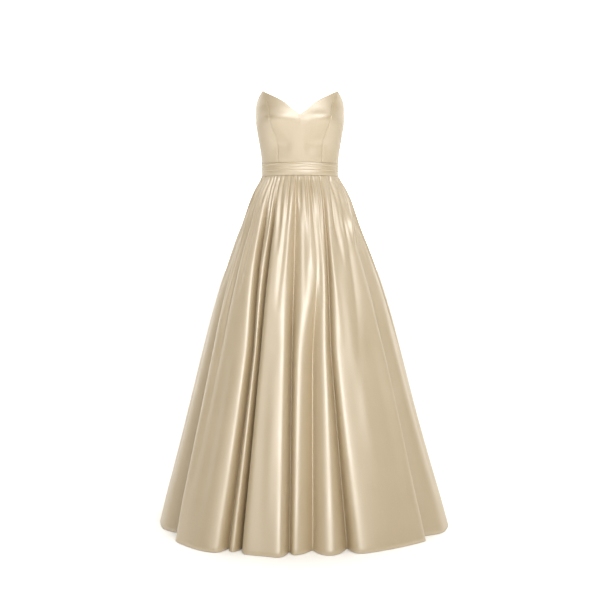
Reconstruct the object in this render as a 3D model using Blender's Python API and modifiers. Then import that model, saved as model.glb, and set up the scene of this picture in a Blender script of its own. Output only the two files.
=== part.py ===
"""A strapless satin ball gown, worn by nobody: it keeps the hollow form that it has on a figure.

Run it with: blender --background --python part.py

Metres, +Z up. The gown faces -Y, and +X is the wearer's left. The origin is the centre of the waist seam.
Every piece that is cut and sewn on is an object of its own, and neighbours stand SEAM_GAP apart.
"""

import math
from collections import namedtuple

import bmesh
import bpy
import numpy as np
from mathutils import Matrix

MM = 0.001

# ---------------------------------------------------------------- driving sizes

SEAM_GAP = 0.3 * MM
SKIRT_CLOTH = 1.2 * MM  # satin with its backing
BODICE_CLOTH = 2.0 * MM  # satin on an interlined, boned foundation
POCKET_CLOTH = 1.0 * MM
SKIRT_LENGTH = 1.150  # waist seam to hem
SKIRT_SWAY = 0.010  # how far the hem's centre lies to the wearer's left of the waist's
BAND_HEIGHT = 0.042
BODICE_BOTTOM = BAND_HEIGHT + SEAM_GAP

# The figure under the bodice and waistband: inner half-width, and depth to the front and back, by height over
# the waist. roundness is 2 for an ellipse, and more for a squarer plan.
Body = namedtuple("Body", "height half_width front back roundness")
BODY = [
    Body(0.000, 0.1245, 0.0950, 0.0860, 2.05),
    Body(0.045, 0.1255, 0.0970, 0.0870, 2.08),
    Body(0.070, 0.1275, 0.1000, 0.0890, 2.12),
    Body(0.100, 0.1320, 0.1060, 0.0925, 2.20),
    Body(0.140, 0.1390, 0.1170, 0.0975, 2.30),
    Body(0.180, 0.1445, 0.1265, 0.1020, 2.40),
    Body(0.220, 0.1450, 0.1215, 0.1045, 2.35),
    Body(0.255, 0.1405, 0.1130, 0.1055, 2.25),
    Body(0.285, 0.1345, 0.1040, 0.1055, 2.15),
]

# Two soft cups stand out of that figure over the bust.
CUP_ANGLE, CUP_SPREAD = 35.0, 17.0  # degrees from the centre front
CUP_HEIGHT, CUP_RISE = 0.176, 0.036
CUP_DEPTH = 9.0 * MM

# The bodice's top edge, by angle from the centre front: a notch, two points, and a straight low back.
TIP_ANGLE = 65.7
Edge = namedtuple("Edge", "angle height")
TOP_EDGE_FRONT = [
    Edge(0.0, 0.1940),
    Edge(10.4, 0.2105),
    Edge(19.7, 0.2280),
    Edge(29.4, 0.2420),
    Edge(45.8, 0.2590),
    Edge(TIP_ANGLE, 0.2765),
]
TOP_EDGE_BACK = [
    Edge(TIP_ANGLE, 0.2765),
    Edge(76.0, 0.2520),
    Edge(88.0, 0.2220),
    Edge(100.0, 0.2070),
    Edge(125.0, 0.1900),
    Edge(180.0, 0.1780),
]

# Where each lengthwise bodice seam runs, as an angle from the centre front, by its share of the way up.
Seams = namedtuple("Seams", "share front_princess side back_princess centre_back")
BODICE_SEAMS = [
    Seams(0.000, 40.6, 90.0, 143.0, 180.0),
    Seams(0.330, 39.8, 90.0, 141.0, 180.0),
    Seams(0.585, 40.8, 90.5, 139.0, 180.0),
    Seams(0.780, 47.5, 91.0, 138.0, 180.0),
    Seams(1.000, TIP_ANGLE, 92.0, 137.0, 180.0),
]

# The bodice's panels, from the centre back round by the wearer's right (-1) to the front and the left (1).
Panel = namedtuple("Panel", "name first_side first_seam last_side last_seam columns rows")
PANELS = [
    Panel("bodice_back_centre_right", -1, "centre_back", -1, "back_princess", 5, 6),
    Panel("bodice_back_right", -1, "back_princess", -1, "side", 5, 6),
    Panel("bodice_front_right", -1, "side", -1, "front_princess", 6, 9),
    Panel("bodice_front_centre", -1, "front_princess", 1, "front_princess", 16, 9),
    Panel("bodice_front_left", 1, "front_princess", 1, "side", 6, 9),
    Panel("bodice_back_left", 1, "side", 1, "back_princess", 5, 6),
    Panel("bodice_back_centre_left", 1, "back_princess", 1, "centre_back", 5, 6),
]

# The draped waistband's two folded edges: the height of the low one and of the high one, by angle.
BandFold = namedtuple("BandFold", "angle low high")
BAND_FOLDS = [
    BandFold(-180.0, 0.0160, 0.0300),
    BandFold(-90.0, 0.0155, 0.0305),
    BandFold(-50.0, 0.0160, 0.0325),
    BandFold(-8.0, 0.0175, 0.0355),
    BandFold(8.0, 0.0180, 0.0350),
    BandFold(35.0, 0.0165, 0.0290),
    BandFold(60.0, 0.0155, 0.0270),
    BandFold(90.0, 0.0155, 0.0270),
    BandFold(180.0, 0.0160, 0.0300),
]
BAND_EDGE = 1.5 * MM  # the wall at the band's seams
BAND_PUFF = 2.2 * MM  # and between its folds
FOLD_PROUD = 2.6 * MM  # at a folded edge
FOLD_TUCKED = 1.3 * MM  # and where the cloth passes under it
FOLD_STEP = 0.7 * MM

# The three stretches of band, by angle: seamed at the sides and open at the centre back.
Stretch = namedtuple("Stretch", "name first last columns")
BAND_STRETCHES = [
    Stretch("waistband_back_right", -180.0, -90.0, 10),
    Stretch("waistband_front", -90.0, 90.0, 24),
    Stretch("waistband_back_left", 90.0, 180.0, 10),
]

# The skirt's outline without its folds, by drop below the waist.
Hoop = namedtuple("Hoop", "drop half_width front back roundness")
HOOPS = [
    Hoop(0.000, 0.1285, 0.0985, 0.0900, 2.00),
    Hoop(0.017, 0.1390, 0.1090, 0.1010, 2.00),
    Hoop(0.050, 0.1590, 0.1270, 0.1230, 2.00),
    Hoop(0.083, 0.1740, 0.1410, 0.1400, 2.02),
    Hoop(0.167, 0.2040, 0.1695, 0.1730, 2.03),
    Hoop(0.250, 0.2355, 0.1990, 0.2050, 2.05),
    Hoop(0.417, 0.2910, 0.2540, 0.2610, 2.08),
    Hoop(0.583, 0.3360, 0.3020, 0.3090, 2.10),
    Hoop(0.750, 0.3800, 0.3510, 0.3570, 2.12),
    Hoop(0.917, 0.4250, 0.4030, 0.4050, 2.14),
    Hoop(1.083, 0.4720, 0.4550, 0.4530, 2.15),
    Hoop(1.150, 0.4890, 0.4760, 0.4720, 2.15),
]

# The long folds are the valleys that run from the waist to the hem. Angles are in degrees from the centre
# front, at the waist, hip, knee and hem. Depths (mm) are at the last three, and width (mm) is the valley's
# half-width at the hem. lean tilts the valley's bottom towards the wearer's left (+) or right (-). Of the face
# that follows, flat (mm) is how far it falls inside the outline, crest (0 to 1) is where it does so most, and
# gathers is its number of short folds.
Fold = namedtuple("Fold", "name waist hip knee hem at_hip at_knee at_hem width lean flat crest gathers")
FOLDS = [
    Fold("centre_back", -180, -180, -180, -180, 12, 14, 16, 26, 0.0, -4, 0.5, 2),
    Fold("right_5", -160, -164, -166, -167, 18, 38, 62, 34, 0.5, -6, 0.4, 2),
    Fold("right_4", -138, -142, -147, -150, 14, 30, 50, 30, -0.4, -12, 0.6, 2),
    Fold("right_3", -118, -121, -127, -132, 20, 42, 66, 34, 0.5, -8, 0.5, 1),
    Fold("right_2", -101, -105, -112, -118, 12, 26, 44, 28, -0.5, -4, 0.5, 1),
    Fold("right_1", -87, -91, -98, -104, 14, 26, 44, 30, 0.4, 14, 0.65, 1),
    Fold("right_seam", -72, -74, -71, -66, 16, 48, 88, 50, 0.75, -20, 0.8, 3),
    Fold("front_1", -48, -33, -27.5, -28, 30, 36, 48, 17, -0.5, 8, 0.5, 1),
    Fold("front_2", -31, -25, -24, -23.5, 30, 32, 50, 17, 0.15, 4, 0.5, 2),
    Fold("front_3", -8, -4, -3.5, -3.2, 18, 42, 46, 21, -0.35, 10, 0.5, 2),
    Fold("front_4", 13, 11.5, 5.5, 3.0, 14, 32, 54, 25, 0.5, 0, 0.3, 2),
    Fold("front_5", 33, 19.5, 15.5, 14.5, 22, 36, 66, 26, 0.7, 32, 0.55, 3),
    Fold("left_seam", 68, 60, 62, 62, 12, 30, 64, 38, -0.6, 6, 0.4, 2),
    Fold("left_1", 84, 82, 86, 89, 16, 34, 56, 32, 0.5, 4, 0.5, 1),
    Fold("left_2", 99, 100, 104, 107, 14, 28, 46, 30, -0.4, 8, 0.5, 2),
    Fold("left_3", 119, 121, 125, 127, 20, 40, 64, 34, 0.5, 10, 0.6, 2),
    Fold("left_4", 141, 143, 146, 147, 14, 30, 48, 28, -0.5, 5, 0.4, 1),
    Fold("left_5", 158, 162, 164, 164, 18, 36, 60, 32, -0.5, 4, 0.5, 2),
]
NUMBER = {fold.name: i for i, fold in enumerate(FOLDS)}
HIP, KNEE = 0.25, 0.60  # the drops at which the table gives its angles and depths

# At the waist seam every fold is one of the small gathers, and the long ones grow out of them.
GATHER_DEPTH, GATHER_WIDTH = 3.6 * MM, 4.4 * MM
YOKE_DROP, YOKE_DEPTH, YOKE_WIDTH = 0.050, 7.0 * MM, 6.6 * MM

# The short folds between them: the depth and half-width (mm) where each is widest, and how far down it reaches.
Spread = namedtuple("Spread", "least most")
SHORT_DEPTH, SHORT_WIDTH, SHORT_REACH = Spread(3.6, 6.8), Spread(5.5, 8.7), Spread(0.10, 0.30)
SHORT_SHIFT = 0.16  # how unevenly they are spaced
SHORT_SEED = 11

# Short folds with a place of their own: the long fold they follow, and where they lie on its face (0 to 1)
# at the waist and at their end.
ShortFold = namedtuple("ShortFold", "after waist end depth reach width")
SHORT_FOLDS = [
    ShortFold("right_seam", 0.47, 0.45, 13, 1.00, 16),
    ShortFold("front_5", 0.34, 0.24, 10, 0.34, 13),
    ShortFold("front_5", 0.72, 0.24, 8, 0.80, 20),
]
CLEAR_OF_OTHERS = 0.12  # an even gather nearer than this to another short fold is left out

SKIRT_DROPS = [0.0, 0.014, 0.040, 0.075, 0.110, 0.155, 0.200, 0.235, 0.330, 0.480, 0.680, 0.910, 1.150]

# Side seam pockets. The mouth is the seam between two drops, where the lips part by lift (mm) outwards at the
# front and half of that inwards at the back. The bag hangs inside, and its far edge is at deep_x, deep_y (m).
POCKET_TOP, POCKET_END = 0.075, 0.235
LIP_REACH = 0.036
Pocket = namedtuple("Pocket", "name seam back forward lift deep_x deep_y")
POCKETS = [
    Pocket("pocket_right", "right_seam", "skirt_back_right", 1, 7, -0.098, -0.090),
    Pocket("pocket_left", "left_seam", "skirt_back_left", -1, 16, 0.074, -0.098),
]

# The bag's outline and thickness, by drop: where it starts and ends between the mouth and the far edge (0 to
# 1), and the half-thickness (mm) of its hollow. Its two cloths meet where that is 0.
Bag = namedtuple("Bag", "drop start end half")
BAG = [
    Bag(0.066, 0.05, 0.88, 0),
    Bag(0.075, 0.00, 0.94, 5),
    Bag(0.110, 0.00, 1.00, 8),
    Bag(0.155, 0.00, 1.03, 9),
    Bag(0.200, 0.00, 1.04, 9),
    Bag(0.235, 0.00, 1.02, 9),
    Bag(0.262, 0.03, 0.97, 8),
    Bag(0.286, 0.11, 0.86, 5),
    Bag(0.300, 0.24, 0.70, 0),
]
BAG_COLUMNS = 6
BAG_EDGE = 0.9 * MM  # how far in front of the lips' edges the bag's cloths begin
BAG_OVERLAP = 1.6 * MM  # how much deeper the back cloth lies where the mouth is shut

# The closed zip behind the centre back seam, with its slider at the top and the pull that hangs from it.
ZIP_TOP, ZIP_END = 0.170, -0.190
ZIP_TAPE_HALF, ZIP_TAPE = 0.010, 0.8 * MM
TAPE_STANDOFF = 0.8 * MM
SLIDER_HEIGHT = 0.162
SLIDER_WIDTH, SLIDER_THICK, SLIDER_LENGTH = 6.0 * MM, 2.2 * MM, 10.0 * MM
BRIDGE_RADIUS, BRIDGE_WIRE = 2.9 * MM, 0.55 * MM
BRIDGE_ROOT = 0.15  # radians by which the bridge's ends run on into the slider
PULL_OUT = 1.2 * MM  # the pull's top bar, out from the slider's face
PULL_THICK = 1.0 * MM

# The right half of the pull and of its window, across and down (mm) from the middle of its top bar.
Half = namedtuple("Half", "across down")
PULL_OUTLINE = [
    Half(0.0, -0.55),
    Half(2.0, -0.55),
    Half(2.7, -0.30),
    Half(2.9, 0.40),
    Half(2.9, 2.60),
    Half(2.6, 4.60),
    Half(2.2, 6.80),
    Half(2.5, 10.5),
    Half(3.1, 15.0),
    Half(3.4, 19.0),
    Half(2.9, 22.0),
    Half(1.6, 23.7),
    Half(0.0, 24.2),
]
PULL_WINDOW = [
    Half(0.0, 0.55),
    Half(1.5, 0.60),
    Half(1.8, 1.00),
    Half(1.8, 4.00),
    Half(1.4, 4.50),
    Half(0.0, 4.80),
]

Look = namedtuple("Look", "colour roughness metallic")
SATIN = Look((0.63, 0.52, 0.36), 0.35, 0.0)
TAPE = Look((0.58, 0.48, 0.33), 0.70, 0.0)
BRASS = Look((0.72, 0.58, 0.36), 0.35, 1.0)


# ---------------------------------------------------------------- tables


def smooth(at, places, values):
    """Reads a table between its rows without overshoot: a monotone cubic through (places, values)."""
    x, y = np.asarray(places, float), np.asarray(values, float)
    step = np.diff(x)
    rise = np.diff(y) / step
    tangent = np.concatenate([rise[:1], np.zeros(len(x) - 2), rise[-1:]])
    same_way = rise[:-1] * rise[1:] > 0
    both = np.where(same_way, rise[:-1] + rise[1:], 1.0)
    tangent[1:-1] = np.where(same_way, 2 * rise[:-1] * rise[1:] / both, 0.0)
    at = np.clip(at, x[0], x[-1])
    k = np.clip(np.searchsorted(x, at, side="right") - 1, 0, len(step) - 1)
    t = (at - x[k]) / step[k]
    return (
        (1 + 2 * t) * (1 - t) ** 2 * y[k]
        + t * (1 - t) ** 2 * step[k] * tangent[k]
        + t * t * (3 - 2 * t) * y[k + 1]
        - t * t * (1 - t) * step[k] * tangent[k + 1]
    )


def column(rows, name, at):
    """One named column of a table, read at places in its first column."""
    return smooth(at, [row[0] for row in rows], [getattr(row, name) for row in rows])


def part_at_seams(grid):
    """Draws the grid's two side edges in by half a seam gap."""
    for edge, inner in ((0, 1), (-1, -2)):
        inwards = grid[:, inner] - grid[:, edge]
        inwards = inwards / np.linalg.norm(inwards, axis=-1, keepdims=True)
        grid[:, edge] += inwards * SEAM_GAP / 2
    return grid


# ---------------------------------------------------------------- the form of the bodice and waistband


def body_point(angle, height, out=0.0):
    """A point of the figure at an angle from the centre front and a height over the waist, moved outwards."""
    turn = np.radians(angle)
    across, ahead = np.sin(turn), np.cos(turn)
    half_width = column(BODY, "half_width", height)
    depth = np.where(ahead > 0, column(BODY, "front", height), column(BODY, "back", height))
    power = column(BODY, "roundness", height)
    reach = (np.abs(across / half_width) ** power + np.abs(ahead / depth) ** power) ** (-1 / power)
    side = (np.abs(angle) - CUP_ANGLE) / CUP_SPREAD
    rise = (height - CUP_HEIGHT) / CUP_RISE
    reach = reach + CUP_DEPTH * np.exp(-side * side - rise * rise) + out
    return np.stack([reach * across, -reach * ahead, height + 0 * reach], axis=-1)


def top_edge(angle):
    """The height of the bodice's top edge at an angle."""
    turn = np.abs(angle)
    front, back = column(TOP_EDGE_FRONT, "height", turn), column(TOP_EDGE_BACK, "height", turn)
    return np.where(turn < TIP_ANGLE, front, back)


def bodice_grid(panel):
    """The inner surface of a bodice panel: rows going up, columns by rising angle."""
    up = np.linspace(0, 1, panel.rows + 1)[:, None]
    across = np.linspace(0, 1, panel.columns + 1)[None, :]

    def angles(share):
        first = panel.first_side * column(BODICE_SEAMS, panel.first_seam, share)
        last = panel.last_side * column(BODICE_SEAMS, panel.last_seam, share)
        return first + (last - first) * across

    height = BODICE_BOTTOM + (top_edge(angles(1.0)) - BODICE_BOTTOM) * up
    return part_at_seams(body_point(angles(up), height))


def band_grids(stretch):
    """The outer and inner surfaces of a stretch of waistband: two soft folded edges over a plain inside."""
    angle = np.linspace(stretch.first, stretch.last, stretch.columns + 1)
    low = column(BAND_FOLDS, "low", angle)
    high = column(BAND_FOLDS, "high", angle)
    profile = [
        (0 * angle, BAND_EDGE),
        (low / 2, BAND_PUFF),
        (low - FOLD_STEP, FOLD_TUCKED),
        (low, FOLD_PROUD),
        ((low + high) / 2, BAND_PUFF),
        (high - FOLD_STEP, FOLD_TUCKED),
        (high, FOLD_PROUD),
        (0 * angle + BAND_HEIGHT, BAND_EDGE),
    ]
    outer = np.stack([body_point(angle, height, out) for height, out in profile])
    inner = np.stack([body_point(angle, height) for height, _ in profile])
    return part_at_seams(outer), part_at_seams(inner)


# ---------------------------------------------------------------- the form of the skirt


def hoop_point(angle, drop):
    """The skirt's outline without folds, with its outward and sideways directions, in plan."""
    turn = np.radians(angle)
    half_width = column(HOOPS, "half_width", drop)
    depth = np.where(np.cos(turn) > 0, column(HOOPS, "front", drop), column(HOOPS, "back", drop))
    power = column(HOOPS, "roundness", drop)
    across = np.abs(np.sin(turn)) ** power
    x = SKIRT_SWAY * drop / SKIRT_LENGTH + half_width * np.sin(turn)
    y = -np.sign(np.cos(turn)) * depth * np.maximum(1 - across, 0.0) ** (1 / power)
    sideways = np.stack([half_width * np.cos(turn), depth * np.sin(turn)], axis=-1)
    sideways = sideways / np.linalg.norm(sideways, axis=-1, keepdims=True)
    outwards = np.stack([sideways[..., 1], -sideways[..., 0]], axis=-1)
    return np.stack([x, y], axis=-1), outwards, sideways


def fold_angles(drop):
    """The angle of every long fold at a drop, with the first again a whole turn on."""
    levels = [0.0, HIP, KNEE, SKIRT_LENGTH]
    angles = [float(smooth(drop, levels, [f.waist, f.hip, f.knee, f.hem])) for f in FOLDS]
    return np.array(angles + [angles[0] + 360.0])


def short_folds():
    """Every short fold, with its places as a long fold's number plus a share of the face after it."""
    found = [
        s._replace(waist=NUMBER[s.after] + s.waist, end=NUMBER[s.after] + s.end) for s in SHORT_FOLDS
    ]
    rng = np.random.default_rng(SHORT_SEED)
    for i, fold in enumerate(FOLDS):
        for k in range(fold.gathers):
            place = i + (k + 1 + rng.uniform(-SHORT_SHIFT, SHORT_SHIFT)) / (fold.gathers + 1)
            depth, width, reach = (rng.uniform(*s) for s in (SHORT_DEPTH, SHORT_WIDTH, SHORT_REACH))
            if all(abs(place - other.waist) > CLEAR_OF_OTHERS for other in found):
                found.append(ShortFold(fold.name, place, place, depth, reach, width))
    return found


SHORTS = short_folds()


def valleys(drop):
    """Every valley at a drop as (place, depth, half-width, lean)."""
    found = []
    levels = [0.0, YOKE_DROP, HIP, KNEE, SKIRT_LENGTH]
    for i, fold in enumerate(FOLDS):
        depths = [GATHER_DEPTH, YOKE_DEPTH, fold.at_hip * MM, fold.at_knee * MM, fold.at_hem * MM]
        widths = [GATHER_WIDTH, YOKE_WIDTH, 0.55 * fold.width * MM, 0.71 * fold.width * MM, fold.width * MM]
        leans = [0.0, 0.1 * fold.lean, 0.8 * fold.lean, 0.9 * fold.lean, fold.lean]
        found.append((i, *(smooth(drop, levels, values) for values in (depths, widths, leans))))
    for short in SHORTS:
        share = drop / short.reach
        if share < 1:
            full = short.depth * MM
            depth = smooth(share, [0.0, 0.22, 0.6, 1.0], [GATHER_DEPTH, full, 0.6 * full, 0.0])
            wide = short.width * MM
            width = smooth(share, [0.0, 0.3, 1.0], [GATHER_WIDTH, 0.7 * wide, 1.5 * wide])
            found.append((short.waist + (short.end - short.waist) * share, depth, width, 0.0))
    return found


def pocket_opening(drop):
    """How far the lips of a pocket's mouth part at a drop: 0 at the mouth's ends and 1 midway."""
    share = np.clip((drop - POCKET_TOP) / (POCKET_END - POCKET_TOP), 0, 1)
    return float(np.sin(math.pi * share) ** 2)


def skirt_ring(drop, places):
    """Outer points of the skirt at one drop. A place is a fold's number plus a share of the face after it."""
    angles = fold_angles(drop)
    numbers = np.arange(len(angles))
    angle = np.interp(places, numbers, angles)

    # distances along the outline, so that a valley is as wide at the side as at the front
    fine = np.linspace(-190.0, 190.0, 1521)
    points, _, _ = hoop_point(fine, drop)
    length = np.concatenate([[0], np.cumsum(np.linalg.norm(np.diff(points, axis=0), axis=1))])
    girth = np.interp(180.0, fine, length) - np.interp(-180.0, fine, length)
    here = np.interp(angle, fine, length)

    inwards, aside = np.zeros(len(places)), np.zeros(len(places))
    for place, depth, width, lean in valleys(drop):
        centre = np.interp(np.interp(place, numbers, angles), fine, length)
        away = (here - centre + girth / 2) % girth - girth / 2
        valley = depth * np.exp(-((away / width) ** 2))
        inwards += valley
        aside += lean * valley

    face = np.minimum(places.astype(int), len(FOLDS) - 1)
    flat = np.array([fold.flat * MM for fold in FOLDS])[face] * (drop / SKIRT_LENGTH)
    share = (places - face) ** (math.log(0.5) / np.log([fold.crest for fold in FOLDS]))[face]
    inwards += flat * 4 * share * (1 - share)

    on_front = (places > NUMBER["right_seam"]) & (places < NUMBER["left_seam"])
    for pocket in POCKETS:
        seam = np.interp(angles[NUMBER[pocket.seam]], fine, length)
        parted = np.exp(-(((here - seam) / LIP_REACH) ** 2)) * pocket_opening(drop) * pocket.lift * MM
        inwards += np.where(on_front, -parted, 0.5 * parted)
        aside += np.where(on_front, 0.5 * pocket.forward * parted, 0.0)

    plan, outwards, sideways = hoop_point(angle, drop)
    plan = plan - outwards * inwards[:, None] + sideways * aside[:, None]
    return np.column_stack([plan, np.full(len(places), -drop)])


def face_places(number):
    """The columns of one face of the skirt, closer together near its two valleys."""
    count = 5 + 4 * FOLDS[number].gathers
    even = np.linspace(0, 1, count + 1)[:-1]
    crowded = 0.5 - 0.5 * np.cos(math.pi * even)
    return number + 0.4 * even + 0.6 * crowded


def skirt_grid(first, last):
    """The outer surface of the skirt between two long folds, as rows going down."""
    places = np.concatenate([face_places(i) for i in range(first, last)] + [[float(last)]])
    places[0] += 1e-7  # each panel is on its own side of its seams
    places[-1] -= 1e-7
    grid = np.stack([skirt_ring(drop, places) for drop in SKIRT_DROPS])
    grid[0, :, 2] -= SEAM_GAP
    return part_at_seams(grid)


def skirt_edge(grid, edge, drop):
    """The outer point of a skirt panel's first or last column at a drop, read between the panel's rows."""
    rows = grid[:, edge]
    return np.array([np.interp(drop, -rows[:, 2], rows[:, axis]) for axis in range(3)])


def bag_rings(pocket, grids):
    """A pocket bag's front and rear points, one row for each drop, from the mouth to the far edge."""
    front_edge = 0 if pocket.forward > 0 else -1
    under = SKIRT_CLOTH + SEAM_GAP
    along = np.linspace(0, 1, BAG_COLUMNS + 1)
    rings = []
    for row in BAG:
        level = min(row.drop, POCKET_END)
        _, outwards, sideways = hoop_point(fold_angles(level)[NUMBER[pocket.seam]], level)
        outwards, forwards = np.append(outwards, 0.0), np.append(sideways, 0.0) * pocket.forward
        shut = 1 - pocket_opening(level)
        front = skirt_edge(grids["skirt_front"], front_edge, level) - outwards * (under + POCKET_CLOTH)
        rear = skirt_edge(grids[pocket.back], -1 - front_edge, level)
        rear = rear - outwards * (under + BAG_OVERLAP * shut)
        front, rear = front + forwards * BAG_EDGE, rear + forwards * BAG_EDGE
        front[2] = rear[2] = -row.drop
        deep = np.array([pocket.deep_x, pocket.deep_y, -row.drop])
        middle = (front + rear) / 2
        if shut > 0.99:
            front = rear = middle
        run = deep - middle
        bulge = np.array([run[1], -run[0], 0.0]) * pocket.forward / np.linalg.norm(run)
        share = (row.start + (row.end - row.start) * along)[:, None]
        swell = (np.sin(math.pi * along) ** 0.7 * row.half * MM)[:, None] * bulge
        rings.append((front + (deep - front) * share + swell, rear + (deep - rear) * share - swell))
    return rings


# ---------------------------------------------------------------- objects


def finish(made, look):
    """Puts an object in the gown's collection, with a material of its own."""
    GOWN.objects.link(made)
    material = bpy.data.materials.new(made.name)
    material.use_nodes = True
    shader = material.node_tree.nodes["Principled BSDF"]
    shader.inputs["Base Color"].default_value = (*look.colour, 1.0)
    shader.inputs["Roughness"].default_value = look.roughness
    shader.inputs["Metallic"].default_value = look.metallic
    made.data.materials.append(material)
    return made


def object_from(name, bm, look):
    """Makes a bmesh into a named, smooth-shaded object."""
    mesh = bpy.data.meshes.new(name)
    bm.to_mesh(mesh)
    bm.free()
    mesh.shade_smooth()
    return finish(bpy.data.objects.new(name, mesh), look)


def solidify(made, thickness, offset):
    wall = made.modifiers.new("cloth", "SOLIDIFY")
    wall.thickness = thickness
    wall.offset = offset
    wall.use_quality_normals = True


def cloth_panel(name, grid, thickness, offset, look):
    """A panel of cloth: an open surface through the grid's points, made into a wall."""
    bm = bmesh.new()
    rows = [[bm.verts.new(point) for point in row] for row in grid]
    for low, high in zip(rows, rows[1:]):
        for k in range(len(low) - 1):
            bm.faces.new((low[k], low[k + 1], high[k + 1], high[k]))
    bmesh.ops.triangulate(bm, faces=bm.faces[:], quad_method="SHORT_EDGE")
    solidify(object_from(name, bm, look), thickness, offset)


def wall_between(name, outer, inner, look):
    """A closed wall between two grids of the same size, for cloth that is raised over a plain inside."""
    bm = bmesh.new()
    sides = [[[bm.verts.new(point) for point in row] for row in grid] for grid in (outer, inner)]
    rows, columns = len(outer), len(outer[0])
    for side, grid in enumerate(sides):
        for i in range(rows - 1):
            for k in range(columns - 1):
                corners = (grid[i][k], grid[i][k + 1], grid[i + 1][k + 1], grid[i + 1][k])
                bm.faces.new(corners if side == 0 else corners[::-1])
    around = (
        [(0, k) for k in range(columns)]
        + [(i, columns - 1) for i in range(1, rows)]
        + [(rows - 1, k) for k in range(columns - 2, -1, -1)]
        + [(i, 0) for i in range(rows - 2, 0, -1)]
    )
    for (i, k), (m, n) in zip(around, around[1:] + around[:1]):
        bm.faces.new((sides[0][m][n], sides[0][i][k], sides[1][i][k], sides[1][m][n]))
    object_from(name, bm, look)


def make_pocket(pocket, grids):
    """A bag of two cloths, open where its mouth meets the lips of the side seam and closed elsewhere."""
    bm = bmesh.new()
    loops = []
    for row, (front, rear) in zip(BAG, bag_rings(pocket, grids)):
        loop = [bm.verts.new(point) for point in front]
        if row.half == 0:
            loop += loop[-2::-1]
        else:
            loop += [bm.verts.new(point) for point in rear[-2:0:-1]]
            shut = np.allclose(front[0], rear[0])
            loop.append(loop[0] if shut else bm.verts.new(rear[0]))
        loops.append(loop)
    for high, low in zip(loops, loops[1:]):
        for k in range(len(high) - 1):
            corners = (high[k], high[k + 1], low[k + 1], low[k])
            corners = corners[::-1] if pocket.forward < 0 else corners
            bm.faces.new(list(dict.fromkeys(corners)))
    bmesh.ops.triangulate(bm, faces=bm.faces[:], quad_method="SHORT_EDGE")
    solidify(object_from(pocket.name, bm, SATIN), POCKET_CLOTH, 1.0)


def make_zip_tape(grids):
    """The closed zip's two tapes, as one strip behind the centre back seam."""
    heights = [ZIP_TOP, 0.140, 0.110, 0.080, 0.055, BODICE_BOTTOM, 0.020, 0.002]
    strip = [(body_point(180.0, height)[1] - TAPE_STANDOFF, height) for height in heights]
    for drop in [0.002] + [d for d in SKIRT_DROPS if 0 < d < -ZIP_END] + [-ZIP_END]:
        behind = skirt_edge(grids["skirt_back_left"], -1, drop)[1] - SKIRT_CLOTH
        strip.append((behind - TAPE_STANDOFF, -drop))
    across = np.linspace(-ZIP_TAPE_HALF, ZIP_TAPE_HALF, 5)
    grid = np.array([[(x, y, z) for x in across] for y, z in strip])
    cloth_panel("zip_tape", grid, ZIP_TAPE, -1.0, TAPE)


def slider_place():
    """Where the slider's inner face lies on the bodice, leaning with the cloth."""
    half = SLIDER_LENGTH / 2
    below, here, above = (body_point(180.0, SLIDER_HEIGHT + step)[1] for step in (-half, 0.0, half))
    place = Matrix.Translation((0.0, here + BODICE_CLOTH + SEAM_GAP, SLIDER_HEIGHT))
    return place @ Matrix.Rotation(-math.atan2(above - below, SLIDER_LENGTH), 4, "X")


def make_slider():
    """The slider at the top of the zip, with the bridge that holds its pull."""
    bm = bmesh.new()
    bmesh.ops.create_cube(bm, size=1.0)
    bmesh.ops.scale(bm, vec=(SLIDER_WIDTH, SLIDER_THICK, SLIDER_LENGTH), verts=bm.verts)
    bmesh.ops.translate(bm, vec=(0, SLIDER_THICK / 2, 0), verts=bm.verts)
    slider = object_from("zip_slider", bm, BRASS)
    slider.matrix_world = slider_place()
    rounded = slider.modifiers.new("rounded", "BEVEL")
    rounded.width = 0.5 * MM
    rounded.segments = 2

    arch = bpy.data.curves.new("bridge", "CURVE")
    arch.dimensions = "3D"
    arch.bevel_depth = BRIDGE_WIRE
    arch.bevel_resolution = 2
    arch.use_fill_caps = True
    turns = np.linspace(-BRIDGE_ROOT, math.pi + BRIDGE_ROOT, 15)
    spline = arch.splines.new("POLY")
    spline.points.add(len(turns) - 1)
    for point, turn in zip(spline.points, turns):
        out = SLIDER_THICK + BRIDGE_RADIUS * math.sin(turn)
        point.co = (0.0, out, BRIDGE_RADIUS * math.cos(turn), 1.0)
    tube = bpy.data.objects.new("bridge_tube", arch)
    CUTTERS.objects.link(tube)
    mesh = bpy.data.meshes.new_from_object(tube.evaluated_get(bpy.context.evaluated_depsgraph_get()))
    bpy.data.objects.remove(tube)
    bm = bmesh.new()
    bm.from_mesh(mesh)
    bmesh.ops.remove_doubles(bm, verts=bm.verts, dist=0.001 * MM)
    bmesh.ops.recalc_face_normals(bm, faces=bm.faces)
    bm.to_mesh(mesh)
    bm.free()
    bridge = bpy.data.objects.new("bridge", mesh)
    bridge.matrix_world = slider.matrix_world
    bridge.hide_render = True
    bridge.display_type = "WIRE"
    CUTTERS.objects.link(bridge)
    joined = slider.modifiers.new("bridge", "BOOLEAN")
    joined.operation = "UNION"
    joined.object = bridge


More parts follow.
